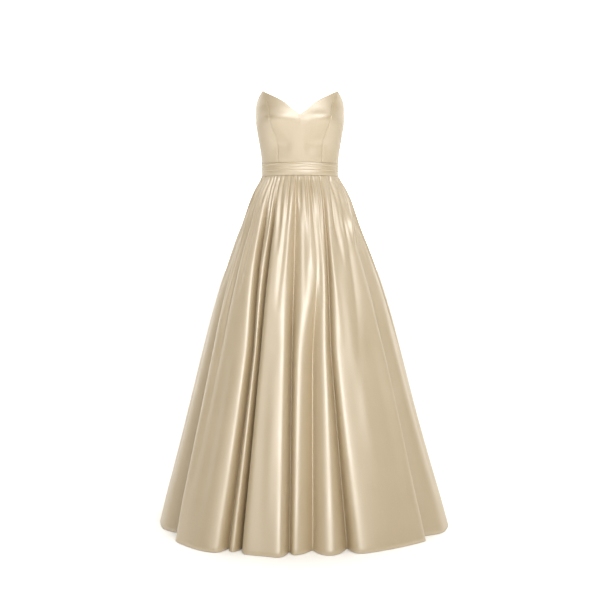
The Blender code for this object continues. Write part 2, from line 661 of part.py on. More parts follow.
def make_pull():
    """The pull: a drop-shaped plate that hangs straight down from its top bar, under the slider's bridge."""
    plate = bpy.data.curves.new("zip_pull", "CURVE")
    plate.dimensions = "2D"
    plate.fill_mode = "BOTH"
    plate.extrude = PULL_THICK / 2
    for half in (PULL_OUTLINE, PULL_WINDOW):
        around = [(p.across, -p.down) for p in half] + [(-p.across, -p.down) for p in half[-2:0:-1]]
        spline = plate.splines.new("POLY")
        spline.points.add(len(around) - 1)
        spline.use_cyclic_u = True
        for point, (x, y) in zip(spline.points, around):
            point.co = (x * MM, y * MM, 0.0, 1.0)
    pull = finish(bpy.data.objects.new("zip_pull", plate), BRASS)
    pull.location = slider_place() @ Matrix.Translation((0, SLIDER_THICK + PULL_OUT, 0)).to_translation()
    pull.rotation_euler = (math.radians(90), 0.0, 0.0)


# ---------------------------------------------------------------- the gown

for old in list(bpy.data.objects):
    bpy.data.objects.remove(old)
GOWN = bpy.data.collections.new("ball_gown")
CUTTERS = bpy.data.collections.new("cutters")
for collection in (GOWN, CUTTERS):
    bpy.context.scene.collection.children.link(collection)

skirt_grids = {
    "skirt_back_right": skirt_grid(NUMBER["centre_back"], NUMBER["right_seam"]),
    "skirt_front": skirt_grid(NUMBER["right_seam"], NUMBER["left_seam"]),
    "skirt_back_left": skirt_grid(NUMBER["left_seam"], len(FOLDS)),
}
for panel_row in PANELS:
    cloth_panel(panel_row.name, bodice_grid(panel_row), BODICE_CLOTH, 1.0, SATIN)
for stretch_row in BAND_STRETCHES:
    wall_between(stretch_row.name, *band_grids(stretch_row), SATIN)
for panel_name, outer_grid in skirt_grids.items():
    cloth_panel(panel_name, outer_grid[::-1], SKIRT_CLOTH, -1.0, SATIN)
for pocket_row in POCKETS:
    make_pocket(pocket_row, skirt_grids)
make_zip_tape(skirt_grids)
make_slider()
make_pull()
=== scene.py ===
# %% [markdown]
# # A strapless satin ball gown
# The gown keeps the hollow form that it has on a figure, and nobody wears it. It is sewn from seven bodice
# panels, a draped waistband in three stretches, three gathered skirt panels, two pocket bags and a zip.
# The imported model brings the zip's slider and pull, which stay, and a plain solid for each piece of cloth,
# which a finer shell replaces.

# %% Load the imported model
import math
from collections import namedtuple

import bmesh
import bpy
import numpy as np
from mathutils import Matrix, Vector


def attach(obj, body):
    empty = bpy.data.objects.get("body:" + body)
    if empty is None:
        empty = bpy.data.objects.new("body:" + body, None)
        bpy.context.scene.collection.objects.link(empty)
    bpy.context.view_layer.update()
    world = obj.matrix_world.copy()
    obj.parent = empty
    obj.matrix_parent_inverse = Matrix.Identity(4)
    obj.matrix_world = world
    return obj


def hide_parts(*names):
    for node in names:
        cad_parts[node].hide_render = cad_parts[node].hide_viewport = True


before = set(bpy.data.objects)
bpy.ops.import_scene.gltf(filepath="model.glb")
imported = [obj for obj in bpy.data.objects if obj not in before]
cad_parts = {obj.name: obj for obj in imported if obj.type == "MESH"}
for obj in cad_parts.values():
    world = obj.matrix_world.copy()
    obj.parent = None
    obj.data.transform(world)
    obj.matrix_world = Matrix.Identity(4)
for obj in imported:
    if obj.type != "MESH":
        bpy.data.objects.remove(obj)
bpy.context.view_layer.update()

MM = 0.001


def new_object(name, data):
    """An object of the scene that holds a mesh, a lamp or a camera."""
    made = bpy.data.objects.new(name, data)
    bpy.context.scene.collection.objects.link(made)
    return made


print("nodes:", len(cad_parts))

# %% [markdown]
# ## Camera
# The camera comes first, because every later choice is judged through it. It stands 4 m in front, level with
# the wearer's hips, and looks slightly down. A 72 mm lens from that distance keeps the hem from swelling.

# %% Camera
CAMERA_PLACE = (0.0, -4.0, -0.2)
LOOK_DOWN = math.atan(0.0525)  # the view falls 52.5 mm for each metre ahead
LENS, SENSOR_WIDTH = 72.0, 36.0  # millimetres

camera = new_object("camera", bpy.data.cameras.new("camera"))
camera.location = CAMERA_PLACE
camera.rotation_euler = (math.radians(90) - LOOK_DOWN, 0.0, 0.0)
camera.data.lens, camera.data.sensor_width = LENS, SENSOR_WIDTH
bpy.context.scene.camera = camera
print("camera looks down by", round(math.degrees(LOOK_DOWN), 1), "degrees")

# %% [markdown]
# ## Colours and shader nodes
# Dyers' and designers' colours are written as sRGB hex codes, but the shader works in linear light, so one
# function turns them. Another adds a node together with its settings and links, so that a material reads as
# a short list.

# %% Colour and node helpers
def linear(code):
    """An sRGB hex colour as linear RGBA."""
    shares = [int(code[i : i + 2], 16) / 255 for i in (1, 3, 5)]
    return tuple(c / 12.92 if c <= 0.04045 else ((c + 0.055) / 1.055) ** 2.4 for c in shares) + (1.0,)


def link(tree, node, sources):
    """Links each source to the node's socket of that name or number."""
    for socket, source in sources.items():
        tree.links.new(source, node.inputs[socket])


def add(tree, kind, values=None, links=None, output=0, **settings):
    """Adds a node with its settings, its sockets' values and what they are linked to. Returns one output."""
    node = tree.nodes.new(kind)
    for name, value in settings.items():
        setattr(node, name, value)
    for socket, value in (values or {}).items():
        node.inputs[socket].default_value = value
    link(tree, node, links or {})
    return node.outputs[output]


def new_material(name, values):
    """A material with its shader's values set. Returns it with its tree and its shader."""
    material = bpy.data.materials.new(name)
    material.use_nodes = True
    shader = material.node_tree.nodes["Principled BSDF"]
    for socket, value in values.items():
        shader.inputs[socket].default_value = value
    return material, material.node_tree, shader


# %% [markdown]
# ## Satin
# Bridal satin is polyester woven so that long warp threads float on the face. They lie side by side like
# brushed hair, so a highlight spreads across them and stays narrow along them: that is what the shader's
# anisotropy does, turned by the cloth's own UV map. A polyester fibre has an IOR near 1.6, but light that
# enters a clear float comes back from its far side too, so the cloth mirrors more than one surface would, and
# the IOR is raised for that. A rough coat stands for the haze of the crossing threads. The UV map is in
# metres, so a pattern's scale is a real size.

# %% Satin
THREAD_STREAK = (2.2 * MM, 90 * MM)  # real floats are 0.2 mm wide: drawn coarser, so that they show
STREAK_SHADE = 0.35  # how far a streak turns the colour into its shade
STREAK_BUMP = {"Strength": 0.05, "Distance": 0.3 * MM}
PATCHES = 9.0  # to the metre: soft patches, a little shinier or duller
SHINIER, DULLER = -0.03, 0.05
SATIN_SURFACE = {
    "IOR": 2.2,
    "Specular IOR Level": 1.0,
    "Coat Weight": 0.5,
    "Coat Roughness": 0.5,
    "Anisotropic": 0.7,
}


def satin(name, colour, shade, roughness):
    """Satin of one colour, with streaks of a darker shade along its threads."""
    material, tree, shader = new_material(name, SATIN_SURFACE)
    place = add(tree, "ShaderNodeUVMap", uv_map="cloth")
    threads = {"Scale": (1 / THREAD_STREAK[0], 1 / THREAD_STREAK[1], 1.0)}
    floats = add(tree, "ShaderNodeMapping", threads, {"Vector": place})
    noise = {"Scale": 1.0, "Detail": 3.0, "Roughness": 0.6}
    streaks = add(tree, "ShaderNodeTexNoise", noise, {"Vector": floats})
    drift = add(tree, "ShaderNodeTexNoise", {"Scale": PATCHES, "Detail": 2.0}, {"Vector": place})
    shades = {"From Min": 0.3, "From Max": 0.7, "To Min": 0.0, "To Max": STREAK_SHADE}
    tone = add(tree, "ShaderNodeMapRange", shades, {"Value": streaks})
    shine, dull = roughness + SHINIER, roughness + DULLER
    dullness = {"From Min": 0.25, "From Max": 0.75, "To Min": shine, "To Max": dull}
    colours = {6: linear(colour), 7: linear(shade)}
    sources = {
        "Base Color": add(tree, "ShaderNodeMix", colours, {0: tone}, output=2, data_type="RGBA"),
        "Roughness": add(tree, "ShaderNodeMapRange", dullness, {"Value": drift}),
        "Normal": add(tree, "ShaderNodeBump", STREAK_BUMP, {"Height": streaks}),
        "Tangent": add(tree, "ShaderNodeTangent", direction_type="UV_MAP", uv_map="cloth"),
    }
    link(tree, shader, sources)
    return material


SATIN = satin("champagne_satin", "#b29d75", "#a8936b", 0.46)
LINING = satin("champagne_lining", "#ac9a77", "#a2906d", 0.55)
print("satin and lining ready")

# %% [markdown]
# ## Reading a table smoothly
# The gown's sizes are short tables with a row for each section or fold. A monotone cubic goes through the
# rows without overshoot, so a fold never bulges between two heights that a maker would measure.

# %% Table helpers
def smooth(at, places, values):
    """Reads a table between its rows without overshoot: a monotone cubic through (places, values)."""
    x, y = np.asarray(places, float), np.asarray(values, float)
    step = np.diff(x)
    rise = np.diff(y) / step
    tangent = np.concatenate([rise[:1], np.zeros(len(x) - 2), rise[-1:]])
    same_way = rise[:-1] * rise[1:] > 0
    both = np.where(same_way, rise[:-1] + rise[1:], 1.0)
    tangent[1:-1] = np.where(same_way, 2 * rise[:-1] * rise[1:] / both, 0.0)
    at = np.clip(at, x[0], x[-1])
    k = np.clip(np.searchsorted(x, at, side="right") - 1, 0, len(step) - 1)
    t = (at - x[k]) / step[k]
    return (
        (1 + 2 * t) * (1 - t) ** 2 * y[k]
        + t * (1 - t) ** 2 * step[k] * tangent[k]
        + t * t * (3 - 2 * t) * y[k + 1]
        - t * t * (1 - t) * step[k] * tangent[k + 1]
    )


def table(columns, *rows):
    """Rows of values under named columns."""
    named = namedtuple("Row", columns)
    return [named(*row) for row in rows]


def column(rows, name, at):
    """One named column of a table, read at places in its first column."""
    return smooth(at, [row[0] for row in rows], [getattr(row, name) for row in rows])


def section(rows, at, ahead):
    """A plan's half-width, its depth to the front or the back, and how square it is, from its table."""
    depth = np.where(ahead > 0, column(rows, "front", at), column(rows, "back", at))
    return column(rows, "half_width", at), depth, column(rows, "roundness", at)


# %% [markdown]
# ## A wall of cloth
# Each piece is a thin closed shell: an outer grid of points, an inner grid under it, and a turned edge where
# the two meet. Solidify would give square rims, and a seam between two pressed edges shows as a soft groove,
# so here both faces are rounded towards each other over the last millimetre.

# %% Cloth shell
EDGE = 0.9 * MM  # radius of a turned or seamed edge
NEAR_EDGE = np.array([0.0, 0.13, 0.5])  # where its points lie, as shares of that radius
SEAM_GAP = 0.3 * MM
NO_LENGTH = 1e-12  # a shorter normal than this, at a pinched point, stays zero


def spread(count, length):
    """Even shares of a length, with a few more at each end for its rounded edge."""
    near = NEAR_EDGE * EDGE / length
    even = np.linspace(EDGE / length, 1 - EDGE / length, count)
    return np.concatenate([near, even, 1 - near[::-1]])


def run_lengths(grid, axis):
    """Mean distance along one side of a grid, from its start to each of its lines."""
    steps = np.linalg.norm(np.diff(grid, axis=axis), axis=-1)
    return np.concatenate([[0.0], np.cumsum(steps.mean(axis=1 - axis))])


def part_at_seams(grid):
    """Draws the grid's two side edges in by half a seam gap."""
    for edge, inner in ((0, 1), (-1, -2)):
        inwards = grid[:, inner] - grid[:, edge]
        inwards = inwards / np.linalg.norm(inwards, axis=-1, keepdims=True)
        grid[:, edge] += inwards * SEAM_GAP / 2
    return grid


def grid_normals(grid):
    """The unit normals of a grid of points, all to one side of it."""
    down, across = np.gradient(grid, axis=0), np.gradient(grid, axis=1)
    normal = np.cross(across, down)
    return normal / np.maximum(np.linalg.norm(normal, axis=-1, keepdims=True), NO_LENGTH)


def outward_normals(grid):
    """The unit normals of a grid round the gown's axis, away from it."""
    normal = grid_normals(grid)
    return -normal if (normal[..., :2] * grid[..., :2]).sum() < 0 else normal


def edge_rounding(grid):
    """1 over the cloth and 0 at its edges, along a quarter circle of radius EDGE."""
    rows, columns = run_lengths(grid, 0), run_lengths(grid, 1)
    near_row = np.minimum(rows, rows[-1] - rows)[:, None]
    near_column = np.minimum(columns, columns[-1] - columns)[None, :]
    share = np.clip(np.minimum(near_row, near_column) / EDGE, 0.0, 1.0)
    return np.sqrt(1 - (1 - share) ** 2)[..., None]


def cloth_shell(name, outer, inner, materials):
    """A closed shell between two grids, with its UV map in metres of cloth. Returns the object."""
    rows, columns = outer.shape[:2]
    rounding = edge_rounding(outer)
    middle = (outer + inner) / 2
    outside, inside = middle + (outer - middle) * rounding, middle + (inner - middle) * rounding
    number = np.arange(rows * columns).reshape(rows, columns)
    back = number.copy()
    back[1:-1, 1:-1] = rows * columns + np.arange((rows - 2) * (columns - 2)).reshape(rows - 2, columns - 2)
    points = np.concatenate([outside.reshape(-1, 3), inside[1:-1, 1:-1].reshape(-1, 3)])

    def quads(grid):
        return np.stack([grid[:-1, :-1], grid[1:, :-1], grid[1:, 1:], grid[:-1, 1:]], axis=-1).reshape(-1, 4)

    front, rear = quads(number), quads(back)[:, ::-1]
    sample = front[len(front) // 2]
    a, b, c = outside.reshape(-1, 3)[sample[:3]]
    if np.dot(np.cross(b - a, c - b), outward_normals(outer).reshape(-1, 3)[sample[0]]) < 0:
        front, rear = front[:, ::-1], rear[:, ::-1]
    mesh = bpy.data.meshes.new(name)
    mesh.from_pydata(points.tolist(), [], np.concatenate([front, rear]).tolist())
    across, down = run_lengths(outer, 1), run_lengths(outer, 0)
    place = np.stack(np.broadcast_arrays(across[None, :], -down[:, None]), axis=-1)
    place = np.concatenate([place.reshape(-1, 2), place[1:-1, 1:-1].reshape(-1, 2)])
    corners = np.empty(len(mesh.loops), dtype=np.int32)
    mesh.loops.foreach_get("vertex_index", corners)
    mesh.uv_layers.new(name="cloth").data.foreach_set("uv", place[corners].ravel())
    for material in materials:
        mesh.materials.append(material)
    mesh.polygons.foreach_set("material_index", np.repeat([0, 1], [len(front), len(rear)]).astype(np.int32))
    mesh.shade_smooth()
    area = sum(face.area for face in mesh.polygons) / 2
    print(f"{name}: {len(front) * 4} triangles, {across[-1]:.3f} x {down[-1]:.3f} m, {area:.4f} m2")
    return new_object(name, mesh)


def dress(piece, node):
    """Puts a finished piece on the gown's body in place of its plain solid."""
    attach(piece, "gown")
    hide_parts(node)


# %% [markdown]
# ## The figure
# The bodice and waistband follow a general dress-form figure: a half-width and a depth for each height, and
# two soft cups. A plan slightly squarer than an ellipse keeps the front smooth, as a boned bodice is.

# %% The figure under the bodice
BAND_HEIGHT = 0.042
BODICE_BOTTOM = BAND_HEIGHT + SEAM_GAP
BODICE_CLOTH = 2.0 * MM  # satin over interlining and lining

BODY = table(
    "height half_width front back roundness",
    (0.000, 0.1245, 0.0950, 0.0860, 2.05),
    (0.045, 0.1255, 0.0970, 0.0870, 2.08),
    (0.070, 0.1275, 0.1000, 0.0890, 2.12),
    (0.100, 0.1320, 0.1060, 0.0925, 2.20),
    (0.140, 0.1390, 0.1170, 0.0975, 2.30),
    (0.180, 0.1445, 0.1265, 0.1020, 2.40),
    (0.220, 0.1450, 0.1215, 0.1045, 2.35),
    (0.255, 0.1405, 0.1130, 0.1055, 2.25),
    (0.285, 0.1345, 0.1040, 0.1055, 2.15),
)
CUP_ANGLE, CUP_SPREAD = 35.0, 17.0  # degrees from the centre front
CUP_HEIGHT, CUP_RISE = 0.176, 0.036
CUP_DEPTH = 9.0 * MM


def body_point(angle, height, out=0.0):
    """A point of the figure at an angle from the centre front and a height over the waist, moved outwards."""
    turn = np.radians(angle)
    across, ahead = np.sin(turn), np.cos(turn)
    half_width, depth, power = section(BODY, height, ahead)
    reach = (np.abs(across / half_width) ** power + np.abs(ahead / depth) ** power) ** (-1 / power)
    side = (np.abs(angle) - CUP_ANGLE) / CUP_SPREAD
    rise = (height - CUP_HEIGHT) / CUP_RISE
    reach = reach + CUP_DEPTH * np.exp(-side * side - rise * rise) + out
    return np.stack([reach * across, -reach * ahead, height + 0 * reach], axis=-1)


print("figure:", len(BODY), "heights, waist", round(2 * BODY[0].half_width, 3), "m wide")

# %% [markdown]
# ## Bodice
# Princess seams shape a strapless bodice: they run from the waist over the bust to the neckline's points. A
# seam lies at each side, one behind each shoulder blade, and the zip at the centre back. Satin pulls smooth
# over the boning, so its relief is soft: a groove at each seam, a hollow under each cup and faint drag lines.

# %% Bodice seams and edges
TIP_ANGLE = 65.7
TOP_EDGE_FRONT = table(
    "angle height",
    (0.0, 0.1940),
    (10.4, 0.2105),
    (19.7, 0.2280),
    (29.4, 0.2420),
    (45.8, 0.2590),
    (TIP_ANGLE, 0.2765),
)
TOP_EDGE_BACK = table(
    "angle height",
    (TIP_ANGLE, 0.2765),
    (76.0, 0.2520),
    (88.0, 0.2220),
    (100.0, 0.2070),
    (125.0, 0.1900),
    (180.0, 0.1780),
)
BODICE_SEAMS = table(
    "share front_princess side back_princess centre_back",
    (0.000, 40.6, 90.0, 143.0, 180.0),
    (0.330, 39.8, 90.0, 141.0, 180.0),
    (0.585, 40.8, 90.5, 139.0, 180.0),
    (0.780, 47.5, 91.0, 138.0, 180.0),
    (1.000, TIP_ANGLE, 92.0, 137.0, 180.0),
)


def top_edge(angle):
    """The height of the bodice's top edge at an angle."""
    turn = np.abs(angle)
    front, back = column(TOP_EDGE_FRONT, "height", turn), column(TOP_EDGE_BACK, "height", turn)
    return np.where(turn < TIP_ANGLE, front, back)


# %% Bodice panels
PANELS = table(
    "name first_side first_seam last_side last_seam columns flat area",
    ("bodice_back_centre_right", -1, "centre_back", -1, "back_princess", 34, (0.085, 0.146), 0.0109),
    ("bodice_back_right", -1, "back_princess", -1, "side", 34, (0.128, 0.183), 0.0188),
    ("bodice_front_right", -1, "side", -1, "front_princess", 34, (0.165, 0.245), 0.0256),
    ("bodice_front_centre", -1, "front_princess", 1, "front_princess", 70, (0.300, 0.245), 0.0380),
    ("bodice_front_left", 1, "front_princess", 1, "side", 34, (0.165, 0.245), 0.0256),
    ("bodice_back_left", 1, "side", 1, "back_princess", 34, (0.128, 0.183), 0.0188),
    ("bodice_back_centre_left", 1, "back_princess", 1, "centre_back", 34, (0.085, 0.146), 0.0109),
)
PANEL_ROWS, PANEL_RISE = 54, 0.16  # rows of points, and a usual height of a panel
SEAM_GROOVE, GROOVE_WIDTH = 0.5 * MM, 2.4 * MM  # how far cloth dips towards a seam, and over what distance

# Soft relief over the boning: each line by its two ends, as angle (degrees) and height (m), with its depth
# and half-width (mm). The satin stands full over each cup, sinks in under it, and has faint drag lines.
DRAGS = table(
    "angle height end_angle end_height depth width",
    (-60, 0.191, -9, 0.188, 2.0, 13),
    (60, 0.192, 9, 0.189, 2.0, 13),
    (-52, 0.108, -14, 0.096, -6.5, 27),
    (52, 0.110, 6, 0.098, -6.5, 27),
    (0, 0.200, 0, 0.140, -1.3, 9),
    (-34, 0.150, -12, 0.095, 0.5, 9),
    (34, 0.150, 12, 0.095, 0.5, 9),
    (-38, 0.060, -14, 0.052, 0.5, 4),
    (-4, 0.050, 16, 0.056, 0.4, 4),
    (22, 0.066, 38, 0.058, 0.4, 5),
    (-75, 0.080, -58, 0.060, 0.4, 6),
    (72, 0.075, 58, 0.055, 0.4, 6),
    (112, 0.070, 134, 0.055, 0.5, 6),
    (-110, 0.066, -132, 0.058, 0.5, 6),
    (150, 0.120, 172, 0.100, 0.4, 7),
    (-150, 0.110, -172, 0.095, 0.4, 7),
)
MEAN_RADIUS = 0.118  # turns an angle on the bodice into a distance
DRAG_FADE = 0.42  # a line's half-length, as a share of the way between its ends


def drag_relief(angle, height):
    """How far the drag lines move the satin outwards."""
    relief = np.zeros(np.broadcast(angle, height).shape)
    for drag in DRAGS:
        start, end = (math.radians(turn) * MEAN_RADIUS for turn in (drag.angle, drag.end_angle))
        run, rise = end - start, drag.end_height - drag.height
        length = math.hypot(run, rise)
        ux, uz = run / length, rise / length
        x, z = np.radians(angle) * MEAN_RADIUS - start, height - drag.height
        along, away = (x * ux + z * uz) / length, (z * ux - x * uz) / (drag.width * MM)
        fade = np.exp(-(((along - 0.5) / DRAG_FADE) ** 4))
        relief += drag.depth * MM * fade * np.exp(-away * away)
    return relief


def bodice_panel(panel):
    """The outer and inner grids of a bodice panel."""
    up = spread(PANEL_ROWS, PANEL_RISE)[:, None]
    across = spread(panel.columns, panel.flat[0])[None, :]

    def angles(share):
        first = panel.first_side * column(BODICE_SEAMS, panel.first_seam, share)
        last = panel.last_side * column(BODICE_SEAMS, panel.last_seam, share)
        return first + (last - first) * across

    height = BODICE_BOTTOM + (top_edge(angles(1.0)) - BODICE_BOTTOM) * up
    angle = angles(up)
    relief = drag_relief(angle, height)
    inner = part_at_seams(body_point(angle, height, np.minimum(relief, 0.0)))
    width = np.minimum(across, 1 - across) * panel.flat[0]
    groove = SEAM_GROOVE * np.exp(-((width / GROOVE_WIDTH) ** 2))
    return part_at_seams(body_point(angle, height, BODICE_CLOTH - groove + relief)), inner


for panel in PANELS:
    piece = cloth_shell(panel.name + "_satin", *bodice_panel(panel), [SATIN, LINING])
    dress(piece, panel.name)

# %% [markdown]
# ## Waistband
# The band is satin draped by hand into soft pleats over a plain stay. Each pleat's folded edge overlaps the
# one below, and at the centre front the middle one rises towards the top one. So the outer face is a height
# field: at each folded edge it steps out, then sinks back as the cloth runs up under the next pleat.

# %% Waistband
BAND_EDGE = 1.5 * MM
PLEAT_PROUD = 2.0 * MM  # how far a folded edge stands over the cloth below
PLEAT_FALL = 8.5 * MM  # the height over which it sinks back
PLEAT_ROLL = 0.9 * MM  # how sharply it is folded
PUFF, PUFF_HEIGHT = 0.8 * MM, 0.017  # the swell of the cloth below the lowest edge
RIPPLE = 0.25 * MM  # hand draping leaves the pleats this uneven
BAND_ROWS = 76

# Folded edges of the pleats, by angle: their height, and how fully each stands out (1 as a rule).
PLEATS = table(
    "angle low low_full middle middle_full high high_full",
    (-180, 0.0165, 1.0, 0.0250, 0.3, 0.0335, 0.9),
    (-90, 0.0160, 1.0, 0.0245, 0.4, 0.0340, 0.9),
    (-50, 0.0175, 0.9, 0.0250, 0.2, 0.0370, 1.0),
    (-30, 0.0185, 0.9, 0.0255, 0.4, 0.0385, 1.1),
    (-8, 0.0190, 0.8, 0.0290, 0.9, 0.0382, 1.2),
    (8, 0.0195, 0.9, 0.0300, 0.7, 0.0368, 1.0),
    (35, 0.0185, 1.0, 0.0265, 0.2, 0.0345, 1.0),
    (60, 0.0170, 1.0, 0.0240, 0.3, 0.0325, 0.9),
    (90, 0.0165, 1.0, 0.0240, 0.5, 0.0320, 0.9),
    (180, 0.0165, 1.0, 0.0250, 0.3, 0.0335, 0.9),
)
STRETCHES = table(
    "name first last columns flat",
    ("waistband_back_right", -180.0, -90.0, 60, (0.180, 0.050)),
    ("waistband_front", -90.0, 90.0, 150, (0.370, 0.050)),
    ("waistband_back_left", 90.0, 180.0, 60, (0.180, 0.050)),
)


def band_relief(angle, height):
    """How far the band's outer face stands over the figure."""
    out = np.full(np.broadcast(angle, height).shape, BAND_EDGE)
    for name in ("low", "middle", "high"):
        edge, full = column(PLEATS, name, angle), column(PLEATS, name + "_full", angle)
        over = height - edge
        step = 0.5 + 0.5 * np.tanh(over / PLEAT_ROLL)
        out = out + PLEAT_PROUD * full * step * np.exp(-np.maximum(over, 0) / PLEAT_FALL)
    puff = np.sin(math.pi * np.clip(height / PUFF_HEIGHT, 0, 1)) * PUFF
    ripple = RIPPLE * np.sin(angle / 7.0 + height * 130.0) * np.sin(angle / 16.0 + 1.0)
    return out + puff + ripple


for stretch in STRETCHES:
    across = spread(stretch.columns, stretch.flat[0])[None, :]
    angle = stretch.first + (stretch.last - stretch.first) * across
    height = BAND_HEIGHT * spread(BAND_ROWS, BAND_HEIGHT)[:, None]
    outer = part_at_seams(body_point(angle, height, band_relief(angle, height)))
    inner = part_at_seams(body_point(angle, height))
    piece = cloth_shell(stretch.name + "_satin", outer, inner, [SATIN, LINING])
    dress(piece, stretch.name)

# %% [markdown]
# ## Skirt
# Much more satin than the waist's length is gathered into the band. Near the waist it makes many small folds.
# Most of them fade, and the rest grow into the long folds that reach the hem. So the skirt is an outline for
# each height, with a valley pressed into it for each fold: long folds from one table, short ones placed
# unevenly between them, and a few listed one by one.

# %% Skirt outline and folds
SKIRT_LENGTH = 1.150
SKIRT_SWAY = 0.010  # how far the hem hangs to the wearer's left
SKIRT_CLOTH = 1.1 * MM  # satin with its backing

HOOPS = table(
    "drop half_width front back roundness",
    (0.000, 0.1285, 0.0985, 0.0900, 2.00),
    (0.017, 0.1390, 0.1090, 0.1010, 2.00),
    (0.050, 0.1590, 0.1270, 0.1230, 2.00),
    (0.083, 0.1740, 0.1410, 0.1400, 2.02),
    (0.167, 0.2040, 0.1695, 0.1730, 2.03),
    (0.250, 0.2355, 0.1990, 0.2050, 2.05),
    (0.417, 0.2910, 0.2540, 0.2610, 2.08),
    (0.583, 0.3360, 0.3020, 0.3090, 2.10),
    (0.750, 0.3800, 0.3510, 0.3570, 2.12),
    (0.917, 0.4250, 0.4030, 0.4050, 2.14),
    (1.083, 0.4720, 0.4550, 0.4530, 2.15),
    (1.150, 0.4890, 0.4760, 0.4720, 2.15),
)

# The long folds. From the waist to the hem: a fold's angle, and its valley's depth and half-width (mm). Then
# how blunt its crease is (1 to 2) and how far it leans. The face after it lies in by flat at the hem (mm),
# most at crest (0 to 1), and has this number of short folds.
FOLDS = table(
    "name waist hip knee hem deep_hip deep_knee deep_hem wide_hip wide_knee wide_hem "
    "blunt lean flat crest gathers",
    ("centre_back", -180, -180, -180, -180, 12, 14, 16, 14, 18, 26, 2.0, 0.0, -4, 0.5, 2),
    ("right_5", -160, -164, -166, -167, 18, 38, 62, 19, 24, 34, 1.5, 0.5, -6, 0.4, 2),
    ("right_4", -138, -142, -147, -150, 16, 36, 58, 16, 20, 28, 1.4, -0.3, -12, 0.6, 2),
    ("right_3", -118, -121, -127, -132, 20, 42, 66, 19, 24, 34, 1.5, 0.5, -8, 0.5, 1),
    ("right_2", -101, -105, -112, -118, 12, 26, 44, 15, 20, 28, 2.0, -0.5, -4, 0.5, 1),
    ("right_1", -87, -91, -98, -104, 14, 26, 44, 17, 21, 30, 2.0, 0.4, 14, 0.65, 1),
    ("right_seam", -72, -74, -71, -66, 16, 48, 88, 28, 36, 50, 2.0, 0.75, -20, 0.8, 3),
    ("front_1", -42, -35.0, -29.0, -29.0, 34, 40, 46, 6, 5, 7, 1.2, -0.3, 8, 0.5, 1),
    ("front_2", -30, -26.6, -24.5, -24.0, 36, 42, 64, 6, 6, 9, 1.2, -0.2, -14, 0.85, 2),
    ("front_3", -5, -5.4, -6.0, -5.5, 34, 48, 48, 18, 10, 9, 1.2, 0.0, 6, 0.5, 2),
    ("front_4", 13, 12.2, 5.6, 2.7, 8, 50, 72, 14, 23, 27, 1.2, 0.12, 0, 0.5, 2),
    ("front_5", 30, 21.6, 16.2, 15.6, 26, 40, 78, 6, 9, 20, 1.2, 0.3, 20, 0.55, 3),
    ("left_seam", 68, 60, 62, 62, 12, 30, 64, 21, 27, 38, 2.0, -0.6, 6, 0.4, 2),
    ("left_1", 84, 82, 86, 89, 16, 34, 56, 18, 23, 32, 2.0, 0.5, 4, 0.5, 1),
    ("left_2", 99, 100, 104, 107, 14, 28, 46, 16, 21, 30, 2.0, -0.4, 8, 0.5, 2),
    ("left_3", 119, 121, 125, 127, 20, 40, 64, 19, 24, 34, 1.5, 0.5, 10, 0.6, 2),
    ("left_4", 141, 143, 146, 147, 16, 34, 56, 15, 20, 28, 1.4, -0.4, 5, 0.4, 1),
    ("left_5", 158, 162, 164, 164, 18, 36, 60, 18, 23, 32, 1.6, -0.5, 4, 0.5, 2),
)
NUMBER = {fold.name: i for i, fold in enumerate(FOLDS)}
HIP, KNEE = 0.25, 0.60  # the drops at which the table gives its angles, depths and widths
CREASE_ROUND = 2.0 * MM  # how a crease is rounded at its bottom
LEAN_SHARES = (0.0, 0.1, 0.8, 0.9, 1.0)  # of a fold's lean, at the waist, yoke, hip, knee and hem

# At the waist seam every fold is one of the small gathers, and the long ones grow out of them.
GATHER_DEPTH, GATHER_WIDTH = 5.5 * MM, 3.6 * MM
SEAM_SHARE, SEAM_DROP = 0.25, 0.016  # the waist seam presses its gathers flat, and they open below it
YOKE_DROP, YOKE_DEPTH, YOKE_WIDTH = 0.050, 11.0 * MM, 5.8 * MM

# The short folds between them: their greatest depth (mm), their half-width midway (mm) and their length (m).
Spread = namedtuple("Spread", "least most")
SHORT_DEPTH, SHORT_WIDTH, SHORT_REACH = Spread(6.5, 11.0), Spread(5.0, 8.4), Spread(0.13, 0.36)
SHORT_BLUNT = 1.5
SHORT_SHIFT = 0.16  # how unevenly they are spaced
SHORT_SEED = 11

# How a short fold opens and dies out, by its share of the way down: its depth and its width, as shares.
SHORT_RUNS = table(
    "share depth width",
    (0.00, 0.0, 0.6),
    (0.22, 1.0, 0.7),
    (0.60, 0.6, 1.0),
    (1.00, 0.0, 1.5),
)

# Short folds with a place of their own: the long fold they follow, where they lie on its face (0 to 1) at the
# waist and at their end, their depth (mm), how far down they reach (m) and their half-width (mm).
ShortFold = namedtuple("ShortFold", "after waist end depth reach width")
SHORT_FOLDS = [
    ShortFold("right_seam", 0.47, 0.45, 13, 1.00, 16),
    ShortFold("front_5", 0.34, 0.24, 10, 0.34, 13),
    ShortFold("front_5", 0.72, 0.24, 8, 0.80, 20),
]
CLEAR_OF_OTHERS = 0.12  # an even gather nearer than this to another short fold is left out

# Pockets: the seam, the panel behind it, which way is forwards, how far the mouth's front lip lifts (mm), and
# the bag's deepest point in plan.
POCKET_TOP, POCKET_END = 0.075, 0.235
LIP_REACH = 0.042  # how far from the seam the lips still move
LIP_SHARE = 0.5  # how far the rear lip sinks and the front one moves forwards, over how far that one lifts
POCKETS = table(
    "name seam back forward lift deep_x deep_y",
    ("pocket_right", "right_seam", "skirt_back_right", 1, 7, -0.098, -0.090),
    ("pocket_left", "left_seam", "skirt_back_left", -1, 16, 0.074, -0.098),
)
print("skirt:", len(HOOPS), "outlines,", len(FOLDS), "long folds")

